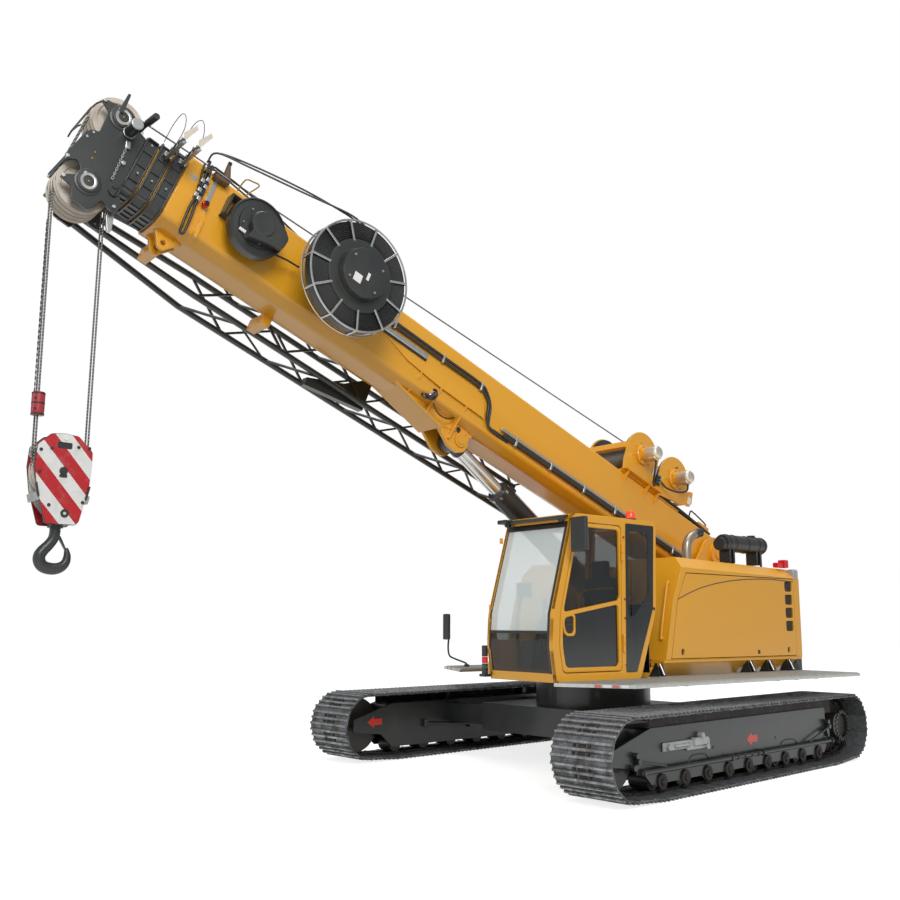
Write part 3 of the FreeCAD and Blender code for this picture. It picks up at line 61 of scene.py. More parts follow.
eye_point = Vector((9.0, 8.133, 1.612))
forward = Vector((-0.6198, -0.7691, 0.1561)).normalized()
level_right = forward.cross(Vector((0, 0, 1))).normalized()
level_up = level_right.cross(forward)
roll = math.radians(0.32)
right = level_right * math.cos(roll) + level_up * math.sin(roll)
upward = level_up * math.cos(roll) - level_right * math.sin(roll)
turn = Matrix((right, upward, -forward)).transposed()
camera.matrix_world = Matrix.Translation(eye_point) @ turn.to_4x4()
bpy.context.scene.camera = camera

# Studio. A pale seamless floor that runs out to the horizon, a white surround, and large soft
# lamps: one high at the right of the camera, a weaker one far ahead of the crane and a wide one
# overhead, both out of the long boom's reach.
def linear(hex_colour):
    """An sRGB hex colour as the linear values that a shader takes."""
    values = [int(hex_colour[i:i + 2], 16) / 255 for i in (1, 3, 5)]
    return [v / 12.92 if v <= 0.04045 else ((v + 0.055) / 1.055) ** 2.4 for v in values] + [1.0]


def add(tree, kind, inputs=None, **settings):
    """Adds a node with its settings; an input takes a value, or a socket that it is linked to."""
    node = tree.nodes.new("ShaderNode" + kind)
    for name, value in settings.items():
        setattr(node, name, value)
    for name, value in (inputs or {}).items():
        if isinstance(value, bpy.types.NodeSocket):
            tree.links.new(value, node.inputs[name])
        else:
            node.inputs[name].default_value = value
    return node


floor_mesh = bpy.data.meshes.new("floor")
ground = bmesh.new()
bmesh.ops.create_grid(ground, x_segments=1, y_segments=1, size=60.0)
ground.to_mesh(floor_mesh)
ground.free()
floor = bpy.data.objects.new("floor", floor_mesh)
bpy.context.scene.collection.objects.link(floor)
floor_paper = bpy.data.materials.new("studio_paper")
floor_paper.use_nodes = True
paper_tree = floor_paper.node_tree
paper_tree.nodes.clear()
paper_path = add(paper_tree, "LightPath")
paper_seen = add(paper_tree, "Math", {0: paper_path.outputs["Is Camera Ray"],
                                      1: paper_path.outputs["Is Glossy Ray"]}, operation="MAXIMUM")
paper_shade = add(paper_tree, "BsdfDiffuse", {"Color": linear("#9c9c9a")})
paper_face = add(paper_tree, "BsdfDiffuse", {"Color": linear("#b3b3b1")})
paper_glow = add(paper_tree, "Emission", {"Color": linear("#ffffff"), "Strength": 0.78})
paper_sum = add(paper_tree, "AddShader", {0: paper_face.outputs[0], 1: paper_glow.outputs[0]})
paper_mix = add(paper_tree, "MixShader", {0: paper_seen.outputs[0], 1: paper_shade.outputs[0],
                                          2: paper_sum.outputs[0]})
add(paper_tree, "OutputMaterial", {"Surface": paper_mix.outputs[0]})
floor_mesh.materials.append(floor_paper)

world = bpy.data.worlds.new("surround")
bpy.context.scene.world = world
world.use_nodes = True
sky = world.node_tree
sky.nodes.clear()
sky_path = add(sky, "LightPath")
sky_seen = add(sky, "Math", {0: sky_path.outputs["Is Camera Ray"],
                             1: sky_path.outputs["Is Transmission Ray"]}, operation="MAXIMUM")
sky_light = add(sky, "Background", {"Color": linear("#e6ebf0"), "Strength": 0.62})
sky_white = add(sky, "Background", {"Color": linear("#ffffff"), "Strength": 1.0})
sky_mix = add(sky, "MixShader", {0: sky_seen.outputs[0], 1: sky_light.outputs[0], 2: sky_white.outputs[0]})
add(sky, "OutputWorld", {"Surface": sky_mix.outputs[0]})

LAMPS = (  # name, place in metres, side in metres, watts
    ("key", (9.0, 13.0, 11.0), 7.0, 1500.0),
    ("front", (36.0, -5.0, 12.0), 16.0, 1750.0),
    ("overhead", (-4.0, 3.0, 52.0), 32.0, 11800.0))
for label, place, side, watts in LAMPS:
    lamp_data = bpy.data.lights.new(label, "AREA")
    lamp_data.size = side
    lamp_data.energy = watts
    lamp = bpy.data.objects.new(label, lamp_data)
    bpy.context.scene.collection.objects.link(lamp)
    aim = Vector((1.0, 0.0, 2.2)) - Vector(place)
    lamp.matrix_world = Matrix.Translation(place) @ aim.to_track_quat("-Z", "Y").to_matrix().to_4x4()
bpy.context.scene.view_settings.view_transform = "Standard"

# Undercarriage. The carbody and both crawler frames are welded plate in charcoal enamel: a satin
# coat over primer, dusted from below. The slew ring is greased, machined steel.
def finish(name):
    """A new material with an empty Principled shader, for a finish to build on."""
    material = bpy.data.materials.new(name)
    material.use_nodes = True
    tree = material.node_tree
    tree.nodes.clear()
    shader = add(tree, "BsdfPrincipled")
    add(tree, "OutputMaterial", {"Surface": shader.outputs[0]})
    return material, tree, shader


def enamel(name, colour, worn, roughness=0.34, dust=0.25, cloud_mm=420.0, peel=0.06):
    """Sprayed enamel: broad tone changes, fine orange peel, and dust that gathers as a haze."""
    material, tree, shader = finish(name)
    where = add(tree, "TexCoord").outputs["Object"]
    cloud = add(tree, "TexNoise", {"Vector": where, "Scale": 1000.0 / cloud_mm, "Detail": 4.0})
    soft = add(tree, "MapRange", {"Value": cloud.outputs["Fac"], "From Min": 0.42, "From Max": 0.72,
                                  "To Min": 0.0, "To Max": dust})
    tone = add(tree, "Mix", {"Factor": soft.outputs[0], "A": linear(colour), "B": linear(worn)},
               data_type="RGBA")
    tree.links.new(tone.outputs["Result"], shader.inputs["Base Color"])
    film = add(tree, "MapRange", {"Value": cloud.outputs["Fac"], "To Min": roughness - 0.06,
                                  "To Max": roughness + 0.12})
    tree.links.new(film.outputs[0], shader.inputs["Roughness"])
    grain = add(tree, "TexNoise", {"Vector": where, "Scale": 90.0, "Detail": 2.0})
    bump = add(tree, "Bump", {"Strength": peel, "Distance": 0.002, "Height": grain.outputs["Fac"]})
    tree.links.new(bump.outputs[0], shader.inputs["Normal"])
    shader.inputs["Coat Weight"].default_value = 0.25
    shader.inputs["Coat Roughness"].default_value = 0.12
    return material


def coat(material, *nodes):
    """Gives carried-over CAD solids their finish."""
    for node in nodes:
        solid = frame["nodes"][node]
        solid.data.materials.clear()
        solid.data.materials.append(material)


charcoal = enamel("charcoal_enamel", "#1f2321", "#4a473f", roughness=0.42, dust=0.3)
ring_grease = enamel("greased_steel", "#211f1c", "#3f3b35", roughness=0.5, dust=0.4)
coat(charcoal, "carbody", "crawler_frame_left", "crawler_frame_right")
coat(ring_grease, "slew_ring", "running_gear_left", "running_gear_right")

# Crawler loops. Each loop is a chain of rolled triple-bar shoes bolted to forged links, bare steel
# that the ground has worn bright along the bars and left brown with dried soil between them.
LOOP_AXLE = (2.25, 0.415)
LOOP_TOE = (1.78, 0.385)
PLATE_RADIUS = 0.36
SHOE_COUNT = 55
SHOE_WIDTH = 0.689
GAUGE = 1.865
joints = {joint["name"]: joint for joint in frame["joints"]}
left_out = joints["crawler_left_retract"]["axis"]
crawler_turn = math.atan2(-left_out[0], left_out[1])


def crawler_place(sign):
    """From a crawler's own middle plane to the row frame."""
    return Matrix.Rotation(crawler_turn, 4, "Z") @ Matrix.Translation((0, sign * GAUGE, 0))


def loop_walk(radius, count):
    """Evenly spaced places on the loop, each a matrix whose Z points out of the loop."""
    centres = [LOOP_TOE, LOOP_AXLE, (-LOOP_AXLE[0], LOOP_AXLE[1]), (-LOOP_TOE[0], LOOP_TOE[1])]
    legs = []
    for index, here in enumerate(centres):
        after = centres[(index + 1) % 4]
        before = centres[index - 1]
        leave = math.atan2(after[1] - here[1], after[0] - here[0]) - math.pi / 2
        arrive = math.atan2(here[1] - before[1], here[0] - before[0]) - math.pi / 2
        bend = (leave - arrive) % (2 * math.pi)
        legs.append(("bend", bend * radius, here, arrive))
        legs.append(("run", math.hypot(after[0] - here[0], after[1] - here[1]), here, leave))
    total = sum(leg[1] for leg in legs)
    for index in range(count):
        distance = (index + 0.5) * total / count
        for kind, length, centre, angle in legs:
            if distance <= length:
                break
            distance -= length
        facing = angle + distance / radius if kind == "bend" else angle
        outward = Vector((math.cos(facing), 0, math.sin(facing)))
        ahead = Vector((-outward.z, 0, outward.x))
        spot = Vector((centre[0], 0, centre[1])) + outward * radius
        if kind == "run":
            spot += ahead * distance
        yield Matrix.Translation(spot) @ Matrix((ahead, ahead.cross(-outward), outward)).transposed().to_4x4()


def weld(bm, part, paint=0, place=None):
    """Adds a small part to a bigger one, in its paint and at its place."""
    if place is not None:
        bmesh.ops.transform(part, matrix=place, verts=part.verts)
    for face in part.faces:
        face.material_index = paint
        face.smooth = True
    carrier = bpy.data.meshes.new("carrier")
    part.to_mesh(carrier)
    part.free()
    bm.from_mesh(carrier)
    bpy.data.meshes.remove(carrier)


def bar(bm, low, high, cut=0.0, paint=0, segments=1, place=None, lean=None):
    """A plate or bar between two corners, its edges broken by a small bevel."""
    part = bmesh.new()
    middle = [(a + b) / 2 for a, b in zip(low, high)]
    span = [abs(b - a) for a, b in zip(low, high)]
    bmesh.ops.create_cube(part, size=1.0, matrix=Matrix.Diagonal((*span, 1)))
    if cut:
        bmesh.ops.bevel(part, geom=part.edges[:], offset=cut, segments=segments, affect="EDGES", profile=0.5,
                        material=-1)
    spot = Matrix.Translation(middle)
    if lean is not None:
        spot = spot @ Matrix.Rotation(math.radians(lean[0]), 4, lean[1])
    weld(bm, part, paint, spot if place is None else place @ spot)


def disc(bm, radius, depth, place, sides=24, paint=0, tip=None, cut=0.0):
    """A pin, boss or bolt head, turned about its own Z."""
    part = bmesh.new()
    bmesh.ops.create_cone(part, cap_ends=True, cap_tris=False, segments=sides, radius1=radius,
                          radius2=radius if tip is None else tip, depth=depth)
    if cut:
        rims = [edge for edge in part.edges if edge.verts[0].co.z * edge.verts[1].co.z > 0]
        bmesh.ops.bevel(part, geom=rims, offset=cut, segments=2, affect="EDGES", profile=0.5, material=-1)
    weld(bm, part, paint, place)


def fit(bm, name, body, slot, *finishes, place=None):
    """Makes a finished piece of a bmesh, at its place in the row frame, riding on a body."""
    if place is not None:
        bmesh.ops.transform(bm, matrix=place, verts=bm.verts)
    mesh = bpy.data.meshes.new(name)
    bm.to_mesh(mesh)
    bm.free()
    for material in finishes:
        mesh.materials.append(material)
    mesh.set_sharp_from_angle(angle=math.radians(40))
    piece = bpy.data.objects.new(name, mesh)
    bpy.context.scene.collection.objects.link(piece)
    even = piece.modifiers.new("even_flats", "WEIGHTED_NORMAL")
    even.keep_sharp = True
    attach(piece, body)
    return piece


def worn_steel(name, colour, soil, bright, roughness=0.42):
    """Bare rolled steel: soil caught in its hollows and long scuffs from the ground."""
    material, tree, shader = finish(name)
    where = add(tree, "TexCoord").outputs["Object"]
    caked = add(tree, "TexNoise", {"Vector": where, "Scale": 9.0, "Detail": 8.0, "Roughness": 0.7})
    mask = add(tree, "MapRange", {"Value": caked.outputs["Fac"], "From Min": 0.42, "From Max": 0.62})
    scuff = add(tree, "TexNoise", {"Vector": where, "Scale": 55.0, "Detail": 5.0})
    rub = add(tree, "MapRange", {"Value": scuff.outputs["Fac"], "From Min": 0.5, "From Max": 0.75})
    metal = add(tree, "Mix", {"Factor": rub.outputs[0], "A": linear(colour), "B": linear(bright)},
                data_type="RGBA")
    tone = add(tree, "Mix", {"Factor": mask.outputs[0], "A": metal.outputs["Result"], "B": linear(soil)},
               data_type="RGBA")
    tree.links.new(tone.outputs["Result"], shader.inputs["Base Color"])
    film = add(tree, "MapRange", {"Value": mask.outputs[0], "To Min": roughness, "To Max": 0.8})
    tree.links.new(film.outputs[0], shader.inputs["Roughness"])
    shine = add(tree, "MapRange", {"Value": mask.outputs[0], "To Min": 0.75, "To Max": 0.15})
    tree.links.new(shine.outputs[0], shader.inputs["Metallic"])
    bump = add(tree, "Bump", {"Strength": 0.25, "Distance": 0.004, "Height": caked.outputs["Fac"]})
    tree.links.new(bump.outputs[0], shader.inputs["Normal"])
    return material


shoe_steel = worn_steel("rolled_shoe_steel", "#6d7073", "#4b4843", "#95989a")
bar_steel = worn_steel("ground_polished_steel", "#929598", "#69665f", "#bcbec0", roughness=0.34)
link_steel = worn_steel("forged_link_steel", "#2b2927", "#37322c", "#55534f", roughness=0.55)

pitch = 2 * (LOOP_AXLE[0] + LOOP_TOE[0]
             + math.hypot(LOOP_AXLE[0] - LOOP_TOE[0], LOOP_AXLE[1] - LOOP_TOE[1]))
pitch = (pitch + 2 * math.pi * PLATE_RADIUS) / SHOE_COUNT
shoe = bmesh.new()
half = SHOE_WIDTH / 2
bar(shoe, (-pitch * 0.49, -half, -0.012), (pitch * 0.475, half, 0.0), cut=0.002)
bar(shoe, (pitch * 0.44, -half, -0.018), (pitch * 0.57, half, -0.006))
for share in (-1, 0, 1):
    middle = share * pitch / 3
    bar(shoe, (middle - 0.017, -half, 0.0), (middle + 0.017, half, 0.012), cut=0.003)
    bar(shoe, (middle - 0.0115, -half, 0.011), (middle + 0.0115, half, 0.0208), cut=0.003, paint=1)
for share in (-0.5, 0.5):
    for y in (-0.085, 0.085):
        disc(shoe, 0.017, 0.014, Matrix.Translation((share * pitch / 3, y, 0.006)), sides=6, paint=2)
    bar(shoe, (share * pitch / 3 - 0.019, -0.045, -0.0005), (share * pitch / 3 + 0.019, 0.045, 0.0012), paint=2)
for y in (-0.115, 0.06):
    bar(shoe, (-pitch * 0.5, y, -0.0385), (pitch * 0.5, y + 0.055, -0.012), cut=0.004, paint=2)
disc(shoe, 0.016, 0.25, Matrix.Translation((pitch * 0.5, 0, -0.022)) @ Matrix.Rotation(math.pi / 2, 4, "X"),
     sides=12, paint=2)
shoe_mesh = bpy.data.meshes.new("shoe_pattern")
shoe.to_mesh(shoe_mesh)
shoe.free()

for side, sign in (("left", 1), ("right", -1)):
    loop = bmesh.new()
    for station in loop_walk(PLATE_RADIUS, SHOE_COUNT):
        known = len(loop.verts)
        loop.from_mesh(shoe_mesh)
        loop.verts.ensure_lookup_table()
        bmesh.ops.transform(loop, matrix=station, verts=loop.verts[known:])
    piece = fit(loop, "shoe_loop_" + side, "crawler_" + side, "track_steel", shoe_steel, bar_steel, link_steel,
                place=crawler_place(sign))
    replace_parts(piece, "track_" + side)

# Crawler frame fittings. Along the outer flank lie a long tie pipe on folded end brackets, a plated
# latch, the roller ends in the shade under the pipe and a painted red arrow; the inner flank has a
# short tie rod and its own arrow. A dark strip set back in the slot under the returning shoes is
# painted shade: it darkens that recess where its shadow falls.
FLANK = 0.175
signal_red = enamel("signal_red", "#c8301f", "#b8604c", roughness=0.4, dust=0.2)
galvanised = enamel("galvanised_plate", "#a9aaa8", "#7d7a73", roughness=0.38, dust=0.5, cloud_mm=120.0)


def panel(bm, outline, low, high, axis="Y", holes=(), corner=0.0, steps=5, edge=0.0, paint=0, place=None):
    """A plate cut to an outline in the plane across an axis: corners rounded, holes pierced, rims broken."""
    order = {"Y": lambda a, b, c: (a, c, b), "Z": lambda a, b, c: (a, b, c), "X": lambda a, b, c: (c, a, b)}[axis]
    part = bmesh.new()
    for points, radius in [(outline, corner)] + list(holes):
        rim = [part.verts.new(order(a, b, low)) for a, b in points]
        part.faces.new(rim)
        if radius:
            bmesh.ops.bevel(part, geom=rim, offset=radius, segments=steps, affect="VERTICES", profile=0.5,
                            material=-1)
    if holes:
        rims = part.edges[:]
        bmesh.ops.delete(part, geom=part.faces[:], context="FACES_ONLY")
        bmesh.ops.triangle_fill(part, use_beauty=True, use_dissolve=False, edges=rims)
        bmesh.ops.recalc_face_normals(part, faces=part.faces[:])
    grown = bmesh.ops.extrude_face_region(part, geom=part.faces[:])
    moved = [item for item in grown["geom"] if isinstance(item, bmesh.types.BMVert)]
    bmesh.ops.translate(part, verts=moved, vec=order(0, 0, high - low))
    bmesh.ops.recalc_face_normals(part, faces=part.faces[:])
    if edge:
        rims = [item for item in part.edges if item.calc_face_angle(0.0) > 1.2]
        bmesh.ops.bevel(part, geom=rims, offset=edge, segments=2, affect="EDGES", profile=0.5, material=-1,
                        clamp_overlap=True)
    weld(bm, part, paint, place)


def flow(points, steps=6):
    """A smooth run through given points, for a bent pipe or a hose."""
    points = [Vector(point) for point in points]
    ends = [2 * points[0] - points[1]] + points + [2 * points[-1] - points[-2]]
    run = [points[0]]
    for before, start, end, after in zip(ends, ends[1:], ends[2:], ends[3:]):
        for step in range(1, steps + 1):
            t = step / steps
            run.append(0.5 * (2 * start + (end - before) * t + (2 * before - 5 * start + 4 * end - after) * t * t
                              + (3 * start - before - 3 * end + after) * t ** 3))
    return run


def hose(bm, points, radius, sides=10, paint=0, place=None):
    """A round bar, pipe or hose along points."""
    part = bmesh.new()
    points = [Vector(point) for point in points]
    rings = []
    twist = None
    for index, point in enumerate(points):
        ahead = (points[min(index + 1, len(points) - 1)] - points[max(index - 1, 0)]).normalized()
        if twist is None:
            twist = ahead.orthogonal()
        twist = (twist - ahead * twist.dot(ahead)).normalized()
        turned = Matrix((twist, ahead.cross(twist), ahead)).transposed().to_4x4()
        ring = bmesh.ops.create_circle(part, segments=sides, radius=radius,
                                       matrix=Matrix.Translation(point) @ turned)
        rings.append(list({edge for vert in ring["verts"] for edge in vert.link_edges}))
    for first, second in zip(rings, rings[1:]):
        bmesh.ops.bridge_loops(part, edges=first + second)
    for edges in (rings[0], rings[-1]):
        bmesh.ops.contextual_create(part, geom=edges)
    bmesh.ops.recalc_face_normals(part, faces=part.faces[:])
    weld(bm, part, paint, place)


ARROW = [(0.115, 0.0), (0.01, 0.07), (0.01, 0.036), (-0.115, 0.036), (-0.115, -0.036), (0.01, -0.036), (0.01, -0.07)]
PIPE_HEIGHT = 0.266
sideways = Matrix.Rotation(math.pi / 2, 4, "X")
for side, sign in (("left", 1), ("right", -1)):
    kit = bmesh.new()
    face_y = sign * FLANK
    out = sign * 0.03
    pipe_y = face_y + 1.5 * out
    hose(kit, [(-1.9, pipe_y, PIPE_HEIGHT), (0.416, pipe_y, PIPE_HEIGHT)], 0.022)
    hose(kit, [(0.416, pipe_y, PIPE_HEIGHT), (2.02, pipe_y, PIPE_HEIGHT)], 0.024)
    for x in (-1.88, -0.234, 0.416, 1.98):
        disc(kit, 0.034, 0.03, Matrix.Translation((x, pipe_y, PIPE_HEIGHT)) @ Matrix.Rotation(math.pi / 2, 4, "Y"), cut=0.004)
        bar(kit, (x - 0.012, face_y, PIPE_HEIGHT - 0.03), (x + 0.012, pipe_y, PIPE_HEIGHT + 0.03), cut=0.003)
    for x in (-0.12, 0.02, 0.16, 0.3):
        disc(kit, 0.03, 0.022, Matrix.Translation((x, pipe_y, PIPE_HEIGHT)) @ Matrix.Rotation(math.pi / 2, 4, "Y"), sides=6)
    for knee, foot, near in ((-1.86, -1.32, 0.43), (2.03, 1.6, 0.37)):
        hose(kit, [(knee, pipe_y, near), (foot, pipe_y, PIPE_HEIGHT + 0.03)], 0.011)
        for shift, rise in ((0.0, 0.0), (0.07, -0.05), (0.03, 0.055)):
            disc(kit, 0.028, 0.05, Matrix.Translation((knee + shift, face_y + out, near + rise)) @ sideways, cut=0.004)
        bar(kit, (knee - 0.02, face_y, near - 0.12), (knee + 0.02, face_y + out, near + 0.06), cut=0.004)
    for start, end in ((0.78, 1.16), (-1.11, -0.7)):
        hose(kit, flow([(start, face_y, PIPE_HEIGHT), (start + 0.06, face_y, PIPE_HEIGHT + 0.07),
                        (end - 0.08, face_y, PIPE_HEIGHT + 0.075), (end, face_y, PIPE_HEIGHT)], 4), 0.008)
    for x in (0.689, -0.609):
        disc(kit, 0.016, 0.002, Matrix.Translation((x, face_y, 0.39)) @ sideways, paint=3)
    bar(kit, (0.79, face_y, 0.4), (1.2, face_y + out, 0.49), cut=0.006, paint=1)
    bar(kit, (1.12, face_y, 0.42), (1.6, face_y + 0.8 * out, 0.5), cut=0.006, paint=1)
    bar(kit, (1.16, face_y, 0.445), (1.42, face_y + 1.5 * out, 0.475), cut=0.006, paint=1)
    bar(kit, (0.84, face_y, 0.44), (1.1, face_y + 1.8 * out, 0.515), cut=0.012, segments=2, paint=1)
    for x, z in ((1.54, 0.46), (0.86, 0.42), (0.95, 0.53)):
        disc(kit, 0.03, 0.07, Matrix.Translation((x, face_y + 0.8 * out, z)) @ sideways, paint=1, cut=0.004)
    for index in range(9):
        x = -1.62 + index * 0.405
        disc(kit, 0.075, 0.022, Matrix.Translation((x, face_y + 0.3 * out, 0.15)) @ sideways, paint=3, cut=0.005)
        disc(kit, 0.032, 0.03, Matrix.Translation((x, face_y + 0.6 * out, 0.15)) @ sideways, sides=16, paint=3, cut=0.004)
    # A dark strip set back in the frame's top slot: painted shade for the shadowed recess under the returning shoes.
    shade_strip_y = sign * 0.155
    bar(kit, (-2.02, shade_strip_y, 0.58), (1.78, shade_strip_y + sign * 0.006, 0.742), paint=3)
    panel(kit, [(-0.1 + x, 0.415 + z) for x, z in ARROW], face_y, face_y + sign * 0.0012, paint=2)
    panel(kit, [(2.06 + x, 0.445 + z) for x, z in ARROW], -face_y, -face_y - sign * 0.0012, paint=2)
    hose(kit, [(0.45, -face_y - out, 0.33), (1.25, -face_y - out, 0.385)], 0.016)
    for x, z in ((0.45, 0.33), (1.25, 0.385)):
        bar(kit, (x - 0.03, -face_y, z - 0.045), (x + 0.03, -face_y - 1.6 * out, z + 0.045), cut=0.005)
    for index in range(20):
        tooth = Matrix.Translation((-2.25, face_y + 0.02 * sign, 0.415)) @ Matrix.Rotation(index * math.pi / 10, 4, "Y")
        bar(kit, (0.14, -0.01, -0.012), (0.185, 0.01, 0.012), cut=0.003, place=tooth)
    fit(kit, "crawler_fittings_" + side, "crawler_" + side, "charcoal_paint", charcoal, galvanised, signal_red,
        link_steel, place=crawler_place(sign))

# Slew ring bolts. One ring of hexagon heads clamps the outer race, just under the deck.
bolts = bmesh.new()
for index in range(60):
    turn_at = Matrix.Rotation(index * math.pi / 30, 4, "Z")
    disc(bolts, 0.014, 0.016, turn_at @ Matrix.Translation((0.646, 0, 0.99)) @ Matrix.Rotation(math.pi / 2, 4, "Y"), sides=6)
fit(bolts, "slew_ring_bolts", "undercarriage", "gear_steel", galvanised)

# Turntable. A welded deck on the slew ring with two tall cheeks for the boom foot, two lugs for the
# luffing cylinder and a shelf for the cab, all in yellow enamel. Its sides slope in under a narrow ledge.
yellow = enamel("yellow_enamel", "#e3a01d", "#d2a54e", roughness=0.3, dust=0.16, cloud_mm=900.0)
deck = bmesh.new()
panel(deck, [(-2.56, -1.15), (0.7, -1.15), (1.18, -0.62), (1.18, 0.3), (1.9, 0.3), (1.9, 1.3), (0.7, 1.3), (0.7, 1.15),
             (-2.56, 1.15)], 1.032, 1.14, axis="Z", edge=0.008)
for sign in (1, -1):
    ledge = [(sign * y, z) for y, z in ((1.308, 1.226), (1.308, 1.2), (1.16, 1.045), (1.12, 1.045), (1.12, 1.226))]
    panel(deck, ledge, -2.556, 0.27, axis="X", edge=0.004)
    low = sign * 0.35
    panel(deck, [(-2.5, 1.13), (-1.15, 1.13), (-1.15, 1.75), (-1.62, 2.42), (-1.86, 2.74), (-2.02, 2.8), (-2.2, 2.78),
                 (-2.32, 2.66), (-2.5, 2.1)], low, low + sign * 0.04, corner=0.05, edge=0.006)
    disc(deck, 0.15, 0.06, Matrix.Translation((-2.08, sign * 0.402, 2.57)) @ Matrix.Rotation(math.pi / 2, 4, "X"),
         sides=40)
    disc(deck, 0.07, 0.09, Matrix.Translation((-2.08, sign * 0.402, 2.57)) @ Matrix.Rotation(math.pi / 2, 4, "X"),
         sides=32)
    low = sign * 0.145
    panel(deck, [(-0.71, 1.13), (-0.19, 1.13), (-0.32, 1.78), (-0.38, 1.85), (-0.52, 1.85), (-0.58, 1.78)],
          low, low + sign * 0.045, corner=0.04, edge=0.006)
    bar(deck, (-2.45, sign * 0.39, 1.14), (-1.2, sign * 0.75, 1.2), cut=0.006)
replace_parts(fit(deck, "turntable_weldment", "upper_works", "yellow_paint", yellow), "turntable")

# Counterweight. One cast block with a rounded tail, sprayed charcoal over its rough skin.
cast_charcoal = enamel("cast_charcoal", "#33383a", "#6b675f", roughness=0.5, dust=0.3, peel=0.3)
coat(cast_charcoal, "counterweight")

# Housings. Pressed sheet shells with a chamfered shoulder, open below, each with a side door hinged
# at its shoulder. The outer skin is yellow enamel with one thin dark line painted in a rising arc.
HOUSE = [(-2.56, 1.228), (0.235, 1.228), (0.08, 1.89), (-0.15, 2.4), (-2.56, 2.34)]
DOOR_GAP = [(-2.43, 1.235), (0.145, 1.235), (0.005, 1.89), (-0.17, 2.215), (-2.43, 2.215)]
SHOULDER = 0.125
ARC = [(0.0, 1.905), (-0.2, 1.975), (-0.431, 2.044), (-0.72, 2.103), (-1.033, 2.147), (-1.35, 2.175),
       (-1.674, 2.19), (-2.0, 2.192), (-2.41, 2.178)]
VENTS = [1.547 + 0.167 * index for index in range(4)]
line_brown = enamel("arc_line", "#5b4230", "#6a5544", roughness=0.4, dust=0.1)
trim_black = enamel("satin_black", "#171817", "#3f3e3b", roughness=0.5, dust=0.15)
mesh_dark = enamel("vent_mesh", "#4b3f33", "#6a5c4c", roughness=0.6, dust=0.5, cloud_mm=30.0)
